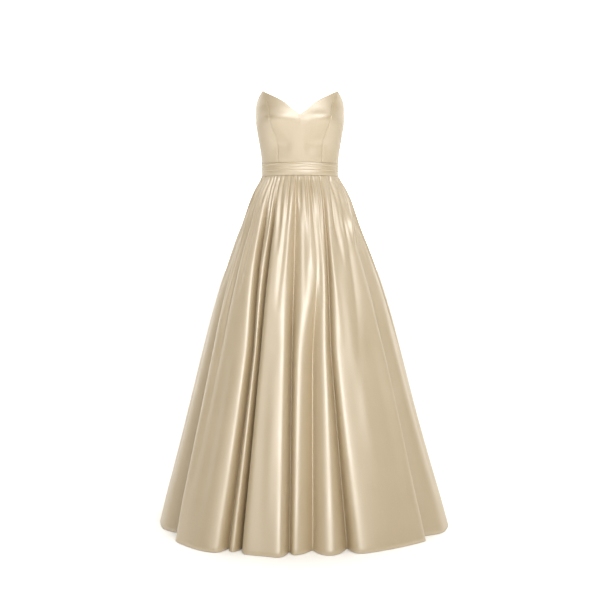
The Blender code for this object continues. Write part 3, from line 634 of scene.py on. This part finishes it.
# %% Skirt form
def hoop_point(angle, drop):
    """The skirt's outline without folds, with its outward and sideways directions, in plan."""
    turn = np.radians(angle)
    across, ahead = np.sin(turn), np.cos(turn)
    half_width, depth, power = section(HOOPS, drop, ahead)
    x = SKIRT_SWAY * drop / SKIRT_LENGTH + half_width * across
    y = -np.sign(ahead) * depth * np.maximum(1 - np.abs(across) ** power, 0.0) ** (1 / power)
    sideways = np.stack([half_width * ahead, depth * across], axis=-1)
    sideways = sideways / np.linalg.norm(sideways, axis=-1, keepdims=True)
    outwards = np.stack([sideways[..., 1], -sideways[..., 0]], axis=-1)
    return np.stack([x, y], axis=-1), outwards, sideways


def fold_angles(drop):
    """The angle of every long fold at a drop, with the first again a whole turn on."""
    levels = [0.0, HIP, KNEE, SKIRT_LENGTH]
    angles = [float(smooth(drop, levels, [f.waist, f.hip, f.knee, f.hem])) for f in FOLDS]
    return np.array(angles + [angles[0] + 360.0])


def short_folds():
    """Every short fold, with its places as a long fold's number plus a share of the face after it."""
    found = [s._replace(waist=NUMBER[s.after] + s.waist, end=NUMBER[s.after] + s.end) for s in SHORT_FOLDS]
    rng = np.random.default_rng(SHORT_SEED)
    for i, fold in enumerate(FOLDS):
        for k in range(fold.gathers):
            place = i + (k + 1 + rng.uniform(-SHORT_SHIFT, SHORT_SHIFT)) / (fold.gathers + 1)
            depth, width, reach = (rng.uniform(*s) for s in (SHORT_DEPTH, SHORT_WIDTH, SHORT_REACH))
            if all(abs(place - other.waist) > CLEAR_OF_OTHERS for other in found):
                found.append(ShortFold(fold.name, place, place, depth, reach, width))
    return found


SHORTS = short_folds()


def pressed(away, width, blunt):
    """The share of a valley's depth at a distance from it: creased if blunt is 1, rounded if it is 2."""
    return np.exp((CREASE_ROUND**blunt - np.hypot(away, CREASE_ROUND) ** blunt) / width**blunt)


def valleys(drop):
    """Every valley at a drop as (place, depth, half-width, bluntness, lean)."""
    found = []
    levels = [0.0, YOKE_DROP, HIP, KNEE, SKIRT_LENGTH]
    for i, fold in enumerate(FOLDS):
        depths = [GATHER_DEPTH, YOKE_DEPTH, fold.deep_hip * MM, fold.deep_knee * MM, fold.deep_hem * MM]
        widths = [GATHER_WIDTH, YOKE_WIDTH, fold.wide_hip * MM, fold.wide_knee * MM, fold.wide_hem * MM]
        blunts = [SHORT_BLUNT, SHORT_BLUNT, fold.blunt, fold.blunt, fold.blunt]
        leans = [share * fold.lean for share in LEAN_SHARES]
        found.append((i, *(smooth(drop, levels, values) for values in (depths, widths, blunts, leans))))
    for short in SHORTS:
        share = drop / short.reach
        if share < 1:
            fading = GATHER_DEPTH * (1 - share) ** 2
            depth = fading + (short.depth * MM - fading) * column(SHORT_RUNS, "depth", share)
            width = short.width * MM * column(SHORT_RUNS, "width", share)
            found.append((short.waist + (short.end - short.waist) * share, depth, width, SHORT_BLUNT, 0.0))
    pressed_flat = SEAM_SHARE + (1 - SEAM_SHARE) * min(1.0, drop / SEAM_DROP)
    return [(place, depth * pressed_flat, *rest) for place, depth, *rest in found]


def pocket_opening(drop):
    """How far the lips of a pocket's mouth part at a drop: 0 at the mouth's ends and 1 midway."""
    share = np.clip((drop - POCKET_TOP) / (POCKET_END - POCKET_TOP), 0, 1)
    return float(np.sin(math.pi * share) ** 2)


print("short folds:", len(SHORTS))

# %% [markdown]
# Beyond the folds that its solid has, the satin gets what only a closer look shows: tiny puckers where it is
# sewn into the band, and soft troughs and ridges listed one by one, each with its own ends, width and depth.

# %% Puckers and creases
PUCKER_SEED, PUCKERS, PUCKER_SHIFT = 5, 78, 0.35
PUCKER_DEPTH, PUCKER_WIDTH, PUCKER_REACH = Spread(0.8, 2.4), Spread(1.5, 2.6), Spread(0.03, 0.12)
PUCKER_FADE, CREASE_FADE = 1.5, 0.8  # how quickly a pucker fades downwards, and a crease towards its ends

# A crease by its two ends: drop (m) and angle (degrees). Depth (mm) is negative for a ridge.
CREASES = table(
    "drop angle end_drop end_angle depth width",
    (0.03, -63, 0.46, -60, 5.0, 9),
    (0.08, -55, 0.34, -53, -3.0, 8),
    (0.05, -49, 0.40, -45, 5.5, 8),
    (0.10, -40, 0.30, -37, -3.0, 6),
    (0.45, -44, 1.13, -42, 6.0, 26),
    (0.60, -55, 1.10, -56, -4.0, 22),
    (0.03, -20, 0.26, -19, 4.0, 6),
    (0.03, -14, 0.44, -15, 4.5, 8),
    (0.12, -10, 0.36, -11, -2.5, 6),
    (0.55, -14, 1.10, -13, -4.0, 20),
    (0.05, 4, 0.42, 2, 3.5, 9),
    (0.10, 7, 0.30, 8, -3.0, 7),
    (0.06, 17, 0.44, 12, 5.0, 8),
    (0.10, 24, 0.55, 23, -4.0, 12),
    (0.03, 38, 0.30, 34, 5.0, 8),
    (0.05, 45, 0.26, 43, -3.0, 7),
    (0.04, 54, 0.24, 51, 4.0, 7),
    (0.40, 44, 1.08, 47, 5.0, 30),
    (0.30, 30, 0.95, 34, -4.0, 24),
    (0.50, 55, 1.00, 56, -3.5, 20),
    (0.04, 75, 0.38, 73, 4.5, 9),
    (0.35, 74, 1.05, 75, 5.0, 24),
    (0.06, 92, 0.50, 95, 4.0, 10),
    (0.30, 96, 0.90, 99, -3.5, 18),
    (0.05, 110, 0.44, 112, 4.5, 9),
    (0.40, 115, 1.08, 117, 5.0, 22),
    (0.04, 130, 0.36, 133, 4.0, 8),
    (0.35, 136, 1.00, 137, -4.5, 24),
    (0.05, 150, 0.42, 153, 5.0, 9),
    (0.30, 170, 1.10, 172, 5.0, 26),
    (0.04, 168, 0.30, 169, 3.5, 8),
    (0.05, -80, 0.40, -83, 4.0, 9),
    (0.35, -85, 1.05, -85, 5.0, 22),
    (0.06, -109, 0.46, -113, 4.5, 9),
    (0.04, -127, 0.34, -130, 4.0, 8),
    (0.38, -124, 1.02, -129, -4.0, 22),
    (0.30, -137, 0.98, -140, 4.5, 22),
    (0.05, -149, 0.44, -154, 5.0, 9),
    (0.40, -158, 1.08, -158, -4.5, 24),
    (0.04, -171, 0.36, -172, 4.0, 9),
    (0.32, -173, 1.06, -174, 4.5, 24),
)


def pucker_table():
    """Tiny gathers at the waist seam, uneven in place, depth and length."""
    rng = np.random.default_rng(PUCKER_SEED)
    found = []
    for k in range(PUCKERS):
        angle = -180 + 360 * (k + rng.uniform(-PUCKER_SHIFT, PUCKER_SHIFT)) / PUCKERS
        depth, width, reach = (rng.uniform(*s) for s in (PUCKER_DEPTH, PUCKER_WIDTH, PUCKER_REACH))
        found.append((angle, depth * MM, width * MM, reach))
    return found


PUCKER_ROWS = pucker_table()


def fine_relief(drop, away_from):
    """How far puckers and creases move the satin inwards, where away_from gives how far off an angle is."""
    marks = []
    for angle, depth, width, reach in PUCKER_ROWS:
        share = drop / reach
        if share < 1:
            marks.append((angle, depth * (1 - share) ** PUCKER_FADE, width * (1 + share)))
    for crease in CREASES:
        share = (drop - crease.drop) / (crease.end_drop - crease.drop)
        if 0 < share < 1:
            angle = crease.angle + (crease.end_angle - crease.angle) * share
            depth = crease.depth * MM * math.sin(math.pi * share) ** CREASE_FADE
            marks.append((angle, depth, crease.width * MM))
    return sum(depth * np.exp(-((away_from(angle) / width) ** 2)) for angle, depth, width in marks)


print("puckers:", len(PUCKER_ROWS), "and creases:", len(CREASES))

# %% Skirt surface
FINE_TURNS = np.linspace(-190.0, 190.0, 1521)  # a quarter of a degree apart, and a little past a whole turn
CRESTS = math.log(0.5) / np.log([fold.crest for fold in FOLDS])


def face_relief(drop, places):
    """How far the faces between the long folds lie in from the outline at one drop."""
    face = np.minimum(places.astype(int), len(FOLDS) - 1)
    flat = np.array([fold.flat * MM for fold in FOLDS])[face] * (drop / SKIRT_LENGTH)
    share = (places - face) ** CRESTS[face]
    return flat * 4 * share * (1 - share)


def skirt_ring(drop, places):
    """Outer points of the skirt at one drop. A place is a fold's number plus a share of the face after it."""
    angles = fold_angles(drop)
    numbers = np.arange(len(angles))
    outline, _, _ = hoop_point(FINE_TURNS, drop)
    length = np.concatenate([[0], np.cumsum(np.linalg.norm(np.diff(outline, axis=0), axis=1))])

    def way(turn):
        """The way along the outline to an angle."""
        return np.interp(turn, FINE_TURNS, length)

    def away_from(turn):
        """The way from an angle to each place, in the shorter direction."""
        return (here - way(turn) + girth / 2) % girth - girth / 2

    angle = np.interp(places, numbers, angles)
    here, girth = way(angle), way(180.0) - way(-180.0)
    inwards, aside = fine_relief(drop, away_from), np.zeros(len(places))
    for place, depth, width, blunt, lean in valleys(drop):
        valley = depth * pressed(away_from(np.interp(place, numbers, angles)), width, blunt)
        inwards = inwards + valley
        aside += lean * valley
    inwards += face_relief(drop, places)
    on_front = (places > NUMBER["right_seam"]) & (places < NUMBER["left_seam"])
    for pocket in POCKETS:
        near = np.exp(-(((here - way(angles[NUMBER[pocket.seam]])) / LIP_REACH) ** 2))
        parted = near * pocket_opening(drop) * pocket.lift * MM
        inwards += np.where(on_front, -parted, LIP_SHARE * parted)
        aside += np.where(on_front, LIP_SHARE * pocket.forward * parted, 0.0)
    plan, outwards, sideways = hoop_point(angle, drop)
    plan = plan - outwards * inwards[:, None] + sideways * aside[:, None]
    return np.column_stack([plan, np.full(len(places), -drop)])


# %% [markdown]
# Rows crowd towards the waist, where the gathers are small, and columns crowd into the valleys, where the
# cloth turns sharply.

# %% Skirt panels
SKIRT_ROWS = 150
ROWS_EVEN, ROWS_CROWD = 0.35, 2.2  # the even part of the rows' spacing, and how fast the rest opens downwards
COLUMNS_EVEN = 0.45  # the even part of the columns' spacing
FACE_COLUMNS, COLUMNS_A_FOLD = 20, 11  # columns of a face, and how many more for each short fold on it
SEAM_COLUMNS = 0.004  # how near a seam's extra columns lie to it, as a share of a face
OFF_SEAM = 1e-7  # keeps a panel's edge on its own side of the seam
SKIRT_SIDES = table(
    "name first last flat area",
    ("skirt_back_right", "centre_back", "right_seam", (1.40, 1.20), 0.93),
    ("skirt_front", "right_seam", "left_seam", (1.60, 1.20), 1.12),
    ("skirt_back_left", "left_seam", None, (1.40, 1.20), 0.93),
)


def skirt_drops():
    """The drops of the skirt's rows of points."""
    share = np.linspace(0, 1, SKIRT_ROWS)
    drops = SKIRT_LENGTH * (ROWS_EVEN * share + (1 - ROWS_EVEN) * share**ROWS_CROWD)
    edge = NEAR_EDGE[1:] * EDGE
    return np.concatenate([[0.0], edge, drops[1:-1], SKIRT_LENGTH - edge[::-1], [SKIRT_LENGTH]])


def face_places(number):
    """The columns of one face of the skirt, closer together near its two valleys."""
    even = np.linspace(0, 1, FACE_COLUMNS + COLUMNS_A_FOLD * FOLDS[number].gathers + 1)[:-1]
    crowded = 0.5 - 0.5 * np.cos(math.pi * even)
    return number + COLUMNS_EVEN * even + (1 - COLUMNS_EVEN) * crowded


def skirt_panel(side):
    """The outer and inner grids of a skirt panel, as rows going down."""
    first = NUMBER[side.first]
    last = NUMBER[side.last] if side.last else len(FOLDS)
    seam = SEAM_COLUMNS * NEAR_EDGE[1:]
    faces = [face_places(i) for i in range(first, last)]
    places = np.sort(np.concatenate([*faces, [float(last)], first + seam, last - seam]))
    places[[0, -1]] += (OFF_SEAM, -OFF_SEAM)
    outer = np.stack([skirt_ring(drop, places) for drop in skirt_drops()])
    outer[0, :, 2] -= SEAM_GAP
    outer = part_at_seams(outer)
    return outer, outer - outward_normals(outer) * SKIRT_CLOTH


skirt_grids = {}
for side in SKIRT_SIDES:
    skirt_grids[side.name] = skirt_panel(side)
    piece = cloth_shell(side.name + "_satin", *skirt_grids[side.name], [SATIN, LINING])
    dress(piece, side.name)

# %% [markdown]
# ## Pocket bags
# Each side seam opens into a pocket. Its two cloths are sewn together round a curve and caught between the
# lips of the seam, and they hang straight inside the skirt. Only the wearer's left one, which a hand has
# opened, shows a little. So a bag is one sheet, folded round its far edge, slack in the middle and pressed
# flat where it is sewn.

# %% Pocket bags
POCKET_CLOTH = 0.8 * MM
BAG_ROWS, BAG_COLUMNS = 50, 26
BAG_EDGE = 0.9 * MM  # how far in front of the lips' edges the bag's cloths begin
BAG_OVERLAP = 1.6 * MM  # how much deeper the back cloth lies where the mouth is shut

# At each drop: where the cloths begin and end, as shares of the way to the deepest point, and half their
# slack (mm).
BAG = table(
    "drop start end half",
    (0.066, 0.05, 0.88, 0),
    (0.075, 0.00, 0.94, 5),
    (0.110, 0.00, 1.00, 8),
    (0.155, 0.00, 1.03, 9),
    (0.200, 0.00, 1.04, 9),
    (0.235, 0.00, 1.02, 9),
    (0.262, 0.03, 0.97, 8),
    (0.286, 0.11, 0.86, 5),
    (0.300, 0.24, 0.70, 0),
)


def seam_point(name, edge, drop):
    """The outer point of a skirt panel's first or last column at a drop."""
    line = skirt_grids[name][0][:, edge]
    return np.array([np.interp(drop, -line[:, 2], line[:, axis]) for axis in range(3)])


def bag_row(pocket, drop):
    """A bag's points at one drop, along its front cloth and back along the rear one, and where it swells."""
    along = np.sin(np.linspace(0, math.pi / 2, BAG_COLUMNS))[:, None]
    level = min(drop, POCKET_END)
    _, outwards, sideways = hoop_point(fold_angles(level)[NUMBER[pocket.seam]], level)
    outwards, forwards = np.append(outwards, 0.0), np.append(sideways, 0.0) * pocket.forward
    shut = 1 - pocket_opening(level)
    sewn = np.clip(5 * shut - 4, 0, 1)  # the lips part only where the mouth is well open
    edge, under = (0 if pocket.forward > 0 else -1), SKIRT_CLOTH + SEAM_GAP
    front = seam_point("skirt_front", edge, level) - outwards * (under + POCKET_CLOTH)
    rear = seam_point(pocket.back, -1 - edge, level) - outwards * (under + BAG_OVERLAP * shut)
    front, rear = front + forwards * BAG_EDGE, rear + forwards * BAG_EDGE
    front[2] = rear[2] = -drop
    middle, deep = (front + rear) / 2, np.array([pocket.deep_x, pocket.deep_y, -drop])
    bulge = np.cross(deep - middle, (0, 0, -pocket.forward))
    bulge /= np.linalg.norm(bulge)
    start, end = column(BAG, "start", drop), column(BAG, "end", drop)
    path = middle + (deep - middle) * (start + (end - start) * along)
    swell = np.sqrt(np.sin(math.pi * along)) * column(BAG, "half", drop) * MM * bulge
    lips = [(lip - middle) * (1 - sewn) * (1 - along) for lip in (front, rear)]
    return np.concatenate([path + lips[0] + swell, (path + lips[1] - swell)[-2::-1]]), bulge


def pocket_bag(pocket):
    """The outer and inner grids of a bag."""
    top, height = BAG[0].drop, BAG[-1].drop - BAG[0].drop
    rows, bulges = zip(*(bag_row(pocket, drop) for drop in top + height * spread(BAG_ROWS, height)))
    inner = np.array(rows)
    normal = grid_normals(inner)
    middle, halfway = BAG_ROWS // 2, BAG_COLUMNS // 2 - 1
    if np.dot(normal[middle, halfway], bulges[middle]) < 0:
        normal = -normal
    return inner + normal * POCKET_CLOTH, inner


for pocket in POCKETS:
    piece = cloth_shell(pocket.name + "_bag", *pocket_bag(pocket), [LINING, LINING])
    dress(piece, pocket.name)

# %% [markdown]
# ## Zip
# A woven tape runs behind the centre back seam, and the coil of nylon teeth is sewn along its middle. The
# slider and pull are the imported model's own, in polished brass.

# %% Zip tape and brass
ZIP_TOP, ZIP_END = 0.170, -0.190
ZIP_TAPE_HALF, ZIP_TAPE = 0.010, 0.8 * MM
TAPE_STANDOFF = 0.8 * MM
TAPE_ROWS, TAPE_COLUMNS = 60, 9
TAPE_STEP = 0.003  # the skirt's seam is read this far up and down too, so that the tape clears its gathers
TAPE_EASE = 5  # how many rows are averaged to smooth the tape
WEAVE = 0.9 * MM  # the tape's ribs


def woven_tape():
    """Ribbed polyester tape, dyed to match."""
    surface = {"Base Color": linear("#c0ab88"), "Roughness": 0.75, "IOR": 1.57}
    material, tree, shader = new_material("polyester_tape", surface)
    place = add(tree, "ShaderNodeUVMap", uv_map="cloth")
    wave = {"Scale": 1 / (2 * math.pi * WEAVE), "Distortion": 0.6, "Detail": 1.0}
    ribs = add(tree, "ShaderNodeTexWave", wave, {"Vector": place}, output="Fac", bands_direction="Y")
    relief = {"Strength": 0.4, "Distance": 0.2 * MM}
    link(tree, shader, {"Normal": add(tree, "ShaderNodeBump", relief, {"Height": ribs})})
    return material


def plain(name, colour, roughness, metallic, ior):
    """A material without a pattern."""
    surface = {"Base Color": linear(colour), "Roughness": roughness, "Metallic": metallic, "IOR": ior}
    return new_material(name, surface)[0]


# Woven tape is matt beside the satin. Cast brass is tumbled smooth, so it mirrors softly. Drawn nylon gleams
# a little, and twisted thread hardly at all.
TAPE = woven_tape()
BRASS = plain("polished_brass", "#d9b77a", 0.28, 1.0, 1.5)
NYLON = plain("nylon_coil", "#cdb894", 0.40, 0.0, 1.53)
THREAD = plain("polyester_thread", "#cbb68f", 0.55, 0.0, 1.57)


def tape_path():
    """The tape's outer face behind the centre back seam, as (y, z) from its top to its end."""
    path = [(body_point(180.0, height)[1], height) for height in np.linspace(ZIP_TOP, 0.0, TAPE_ROWS)]
    for drop in np.linspace(TAPE_STEP, -ZIP_END, TAPE_ROWS):
        near = (seam_point("skirt_back_left", -1, drop + step)[1] for step in (-TAPE_STEP, 0.0, TAPE_STEP))
        path.append((min(near) - SKIRT_CLOTH, -drop))
    path = np.array(path) - (TAPE_STANDOFF, 0.0)
    padded = np.pad(path[:, 0], TAPE_EASE // 2, mode="edge")
    smoothed = np.convolve(padded, np.ones(TAPE_EASE) / TAPE_EASE, mode="valid")
    path[:, 0] = np.minimum(path[:, 0], smoothed)
    return path


tape_line = tape_path()
across = 2 * ZIP_TAPE_HALF * (spread(TAPE_COLUMNS, 2 * ZIP_TAPE_HALF) - 0.5)
outer = np.array([[(x, y, z) for x in across] for y, z in tape_line])
piece = cloth_shell("zip_tape_woven", outer, outer - (0.0, ZIP_TAPE, 0.0), [TAPE, TAPE])
dress(piece, "zip_tape")

for name in ("zip_slider", "zip_pull"):
    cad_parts[name].data.materials[0] = BRASS
    print(name, "in", BRASS.name)

# %% [markdown]
# ## Sewing and zip teeth
# Stitches and teeth repeat along a line, so they are Geometry Nodes' work: a line is resampled at the
# spacing, and one small piece is placed on each point and turned along the line.

# %% Geometry Nodes for stitches and teeth
TOOTH_FLAT, TOOTH_TILT = 0.42, 0.22  # how far a loop of the coil is squashed, and how far it leans (radians)
TOOTH_ASIDE = 0.6  # how far it stands to its side, over its reach


def line_object(name, lines):
    """A mesh of edges only, one run for each list of points."""
    points, edges = [], []
    for line in lines:
        edges += [(len(points) + k, len(points) + k + 1) for k in range(len(line) - 1)]
        points += [tuple(point) for point in line]
    mesh = bpy.data.meshes.new(name)
    mesh.from_pydata(points, edges, [])
    return new_object(name, mesh)


def repeat_tree(name, make_piece, sizes):
    """A tree that repeats a piece along lines. make_piece adds its nodes and returns its mesh and points."""
    tree = bpy.data.node_groups.new(name, "GeometryNodeTree")
    tree.interface.new_socket("Geometry", in_out="OUTPUT", socket_type="NodeSocketGeometry")
    floats = [(title, "Float") for title in ("Spacing", *sizes)]
    for title, kind in [("Geometry", "Geometry"), *floats, ("Material", "Material")]:
        tree.interface.new_socket(title, in_out="INPUT", socket_type="NodeSocket" + kind)
    given = tree.nodes.new("NodeGroupInput").outputs
    curve = add(tree, "GeometryNodeMeshToCurve", links={"Mesh": given["Geometry"]})
    spaced = {"Curve": curve, "Length": given["Spacing"]}
    even = add(tree, "GeometryNodeResampleCurve", links=spaced, mode="LENGTH")
    along = {"Vector": add(tree, "GeometryNodeInputTangent")}
    turn = add(tree, "FunctionNodeAlignRotationToVector", links=along, axis="Z", pivot_axis="AUTO")
    piece, points = make_piece(tree, given, even)
    each = {"Points": points, "Instance": piece, "Rotation": turn}
    placed = add(tree, "GeometryNodeInstanceOnPoints", links=each)
    painted = {
        "Geometry": add(tree, "GeometryNodeRealizeInstances", links={"Geometry": placed}),
        "Material": given["Material"],
    }
    result = add(tree, "GeometryNodeSetMaterial", links=painted)
    link(tree, tree.nodes.new("NodeGroupOutput"), {"Geometry": result})
    return tree


def one_stitch(tree, given, line):
    """A stitch: a short round thread, sunk at both ends."""
    ball = add(tree, "GeometryNodeMeshUVSphere", {"Segments": 6, "Rings": 5})
    half = add(tree, "ShaderNodeMath", {1: 0.5}, {0: given["Stitch Length"]}, operation="MULTIPLY")
    radii = {"X": given["Thread"], "Y": given["Thread"], "Z": half}
    size = add(tree, "ShaderNodeCombineXYZ", links=radii)
    return add(tree, "GeometryNodeTransform", links={"Geometry": ball, "Scale": size}), line


def one_tooth(tree, given, line):
    """A tooth: a flattened loop of the coil. Loops stand to the left and right of the line in turn."""
    circle = "GeometryNodeCurvePrimitiveCircle"
    ring = add(tree, circle, {"Resolution": 10}, {"Radius": given["Tooth Reach"]})
    wire = add(tree, circle, {"Resolution": 5}, {"Radius": given["Wire"]})
    squashed = {"Scale": (1.0, TOOTH_FLAT, 1.0), "Rotation": (TOOTH_TILT, 0.0, 0.0)}
    loop = add(tree, "GeometryNodeTransform", squashed, {"Geometry": ring})
    number = add(tree, "GeometryNodeInputIndex")
    odd = add(tree, "ShaderNodeMath", {1: 2.0}, {0: number}, operation="MODULO")
    sides = {"From Min": 0.0, "From Max": 1.0, "To Min": -TOOTH_ASIDE, "To Max": TOOTH_ASIDE}
    side = add(tree, "ShaderNodeMapRange", sides, {"Value": odd})
    aside = add(tree, "ShaderNodeMath", links={0: side, 1: given["Tooth Reach"]}, operation="MULTIPLY")
    shift = add(tree, "ShaderNodeCombineXYZ", links={"X": aside})
    solid = add(tree, "GeometryNodeCurveToMesh", links={"Curve": loop, "Profile Curve": wire})
    return solid, add(tree, "GeometryNodeSetPosition", links={"Geometry": line, "Offset": shift})


def repeated(name, lines, tree, values):
    """Runs a tree along lines and keeps its result as a plain mesh on the gown."""
    source = line_object(name + "_line", lines)
    modifier = source.modifiers.new("repeat", "NODES")
    modifier.node_group = tree
    keys = {item.name: item.identifier for item in tree.interface.items_tree if item.in_out == "INPUT"}
    for title, value in values.items():
        modifier[keys[title]] = value
    result = source.evaluated_get(bpy.context.evaluated_depsgraph_get())
    mesh = bpy.data.meshes.new_from_object(result)
    source.modifiers.remove(modifier)
    bpy.data.objects.remove(source)
    mesh.shade_smooth()
    piece = new_object(name, mesh)
    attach(piece, "gown")
    print(f"{name}: {len(mesh.polygons)} faces")


# %% Stitches and teeth
STITCH_TREE = repeat_tree("stitches", one_stitch, ("Stitch Length", "Thread"))
TEETH_TREE = repeat_tree("coil_teeth", one_tooth, ("Tooth Reach", "Wire"))
TOP_ROW_BELOW = 4.0 * MM  # the understitching inside the top edge
TOP_ROW_END = 178.5  # degrees from the centre front, so that it stops short of the zip
OFF_LINING = 0.05 * MM
HEM_ALLOWANCE = 20 * MM
TAPE_ROW_OUT = 0.0082  # each row of the tape's stitches, from its middle
COIL_IN = 0.75 * MM  # how far the coil's middle lies behind the tape

turns = np.linspace(-TOP_ROW_END, TOP_ROW_END, 900)[None, :]
top_row = part_at_seams(body_point(turns, top_edge(turns) - TOP_ROW_BELOW, -OFF_LINING))[0]
hem_row = int(np.argmin(np.abs(skirt_drops() - SKIRT_LENGTH + HEM_ALLOWANCE)))
hem_lines = [inner[hem_row, 2:-2] for _, inner in skirt_grids.values()]
back = tape_line[:, 0] - ZIP_TAPE
sides = (-TAPE_ROW_OUT, TAPE_ROW_OUT)
tape_rows = [np.column_stack([np.full(len(back), x), back, tape_line[:, 1]])[1:-1] for x in sides]

near_stitch = {"Spacing": 3.0 * MM, "Stitch Length": 2.3 * MM, "Thread": 0.16 * MM, "Material": THREAD}
blind_stitch = {"Spacing": 8.0 * MM, "Stitch Length": 2.0 * MM, "Thread": 0.18 * MM, "Material": THREAD}
repeated("top_edge_stitches", [top_row], STITCH_TREE, near_stitch)
repeated("hem_stitches", hem_lines, STITCH_TREE, blind_stitch)
repeated("zip_tape_stitches", tape_rows, STITCH_TREE, near_stitch)

TOOTH_SPACING, TOOTH_REACH, TOOTH_WIRE = 0.75 * MM, 1.5 * MM, 0.27 * MM
coil = np.column_stack([np.zeros(len(back)), back - COIL_IN, tape_line[:, 1]])[2:-2]
teeth = {"Spacing": TOOTH_SPACING, "Tooth Reach": TOOTH_REACH, "Wire": TOOTH_WIRE, "Material": NYLON}
repeated("zip_coil", [coil], TEETH_TREE, teeth)

# %% [markdown]
# ## Floor and light
# A plain pale floor and a pale room. Its wall behind the gown and its ceiling are bright, and the room in
# front is dimmer, so that a fold has something dark to mirror beside its highlight. The key is a large soft
# light in front, above and a little to the wearer's left, so the bust and the folds' lips turn bright.

# %% Floor
FLOOR_RADIUS, FLOOR_CLEAR = 30.0, 1.0 * MM
bm = bmesh.new()
bmesh.ops.create_circle(bm, cap_ends=True, radius=FLOOR_RADIUS, segments=64)
floor_mesh = bpy.data.meshes.new("floor")
bm.to_mesh(floor_mesh)
bm.free()
floor_mesh.transform(Matrix.Translation((0, 0, -SKIRT_LENGTH - FLOOR_CLEAR)))
paper = {"Base Color": linear("#fbfaf8"), "Roughness": 0.9}  # uncoated, so without a gleam
floor_mesh.materials.append(new_material("studio_paper", paper)[0])
floor = new_object("floor", floor_mesh)

# %% Room light
WALL_LIGHT, ROOM_LIGHT, CEILING_LIGHT = 2.15, 0.20, 1.0  # brightness behind the gown, before it and overhead
# Between which parts of a direction, backwards or upwards, the wall's and the ceiling's light comes up.
WALL = {"From Min": 0.1, "From Max": 0.65, "To Min": ROOM_LIGHT, "To Max": WALL_LIGHT}
CEILING = {"From Min": 0.2, "From Max": 0.9, "To Min": 0.0, "To Max": CEILING_LIGHT}
FILM_GAMMA = 0.9  # deepens the middle tones a little
world = bpy.data.worlds.new("pale_room")
world.use_nodes = True
tree = world.node_tree
toward = {0: add(tree, "ShaderNodeTexCoord", output="Generated")}
sides = {}
for axis, values in (("Y", WALL), ("Z", CEILING)):
    part = {"Value": add(tree, "ShaderNodeSeparateXYZ", links=toward, output=axis)}
    sides[len(sides)] = add(tree, "ShaderNodeMapRange", values, part, interpolation_type="SMOOTHSTEP")
brightest = add(tree, "ShaderNodeMath", links=sides, operation="MAXIMUM")
tree.nodes["Background"].inputs["Color"].default_value = linear("#fffefb")
link(tree, tree.nodes["Background"], {"Strength": brightest})
bpy.context.scene.world = world
view = bpy.context.scene.view_settings
view.view_transform, view.gamma = "Standard", FILM_GAMMA

# %% Lamps
LAMPS = table(
    "name place aim width height power",
    ("key", (1.2, -4.7, 1.9), (0.0, 0.0, -0.4), 2.8, 3.0, 168.0),
    ("fill", (-1.8, -3.0, 0.3), (0.0, 0.0, -0.5), 1.4, 1.4, 8.0),
)
for lamp in LAMPS:
    light = new_object(lamp.name, bpy.data.lights.new(lamp.name, "AREA"))
    light.data.shape = "RECTANGLE"
    light.data.size, light.data.size_y = lamp.width, lamp.height
    light.data.energy = lamp.power
    light.location = lamp.place
    light.rotation_euler = (Vector(lamp.aim) - Vector(lamp.place)).to_track_quat("-Z", "Y").to_euler()
    print(lamp.name, lamp.power, "W")
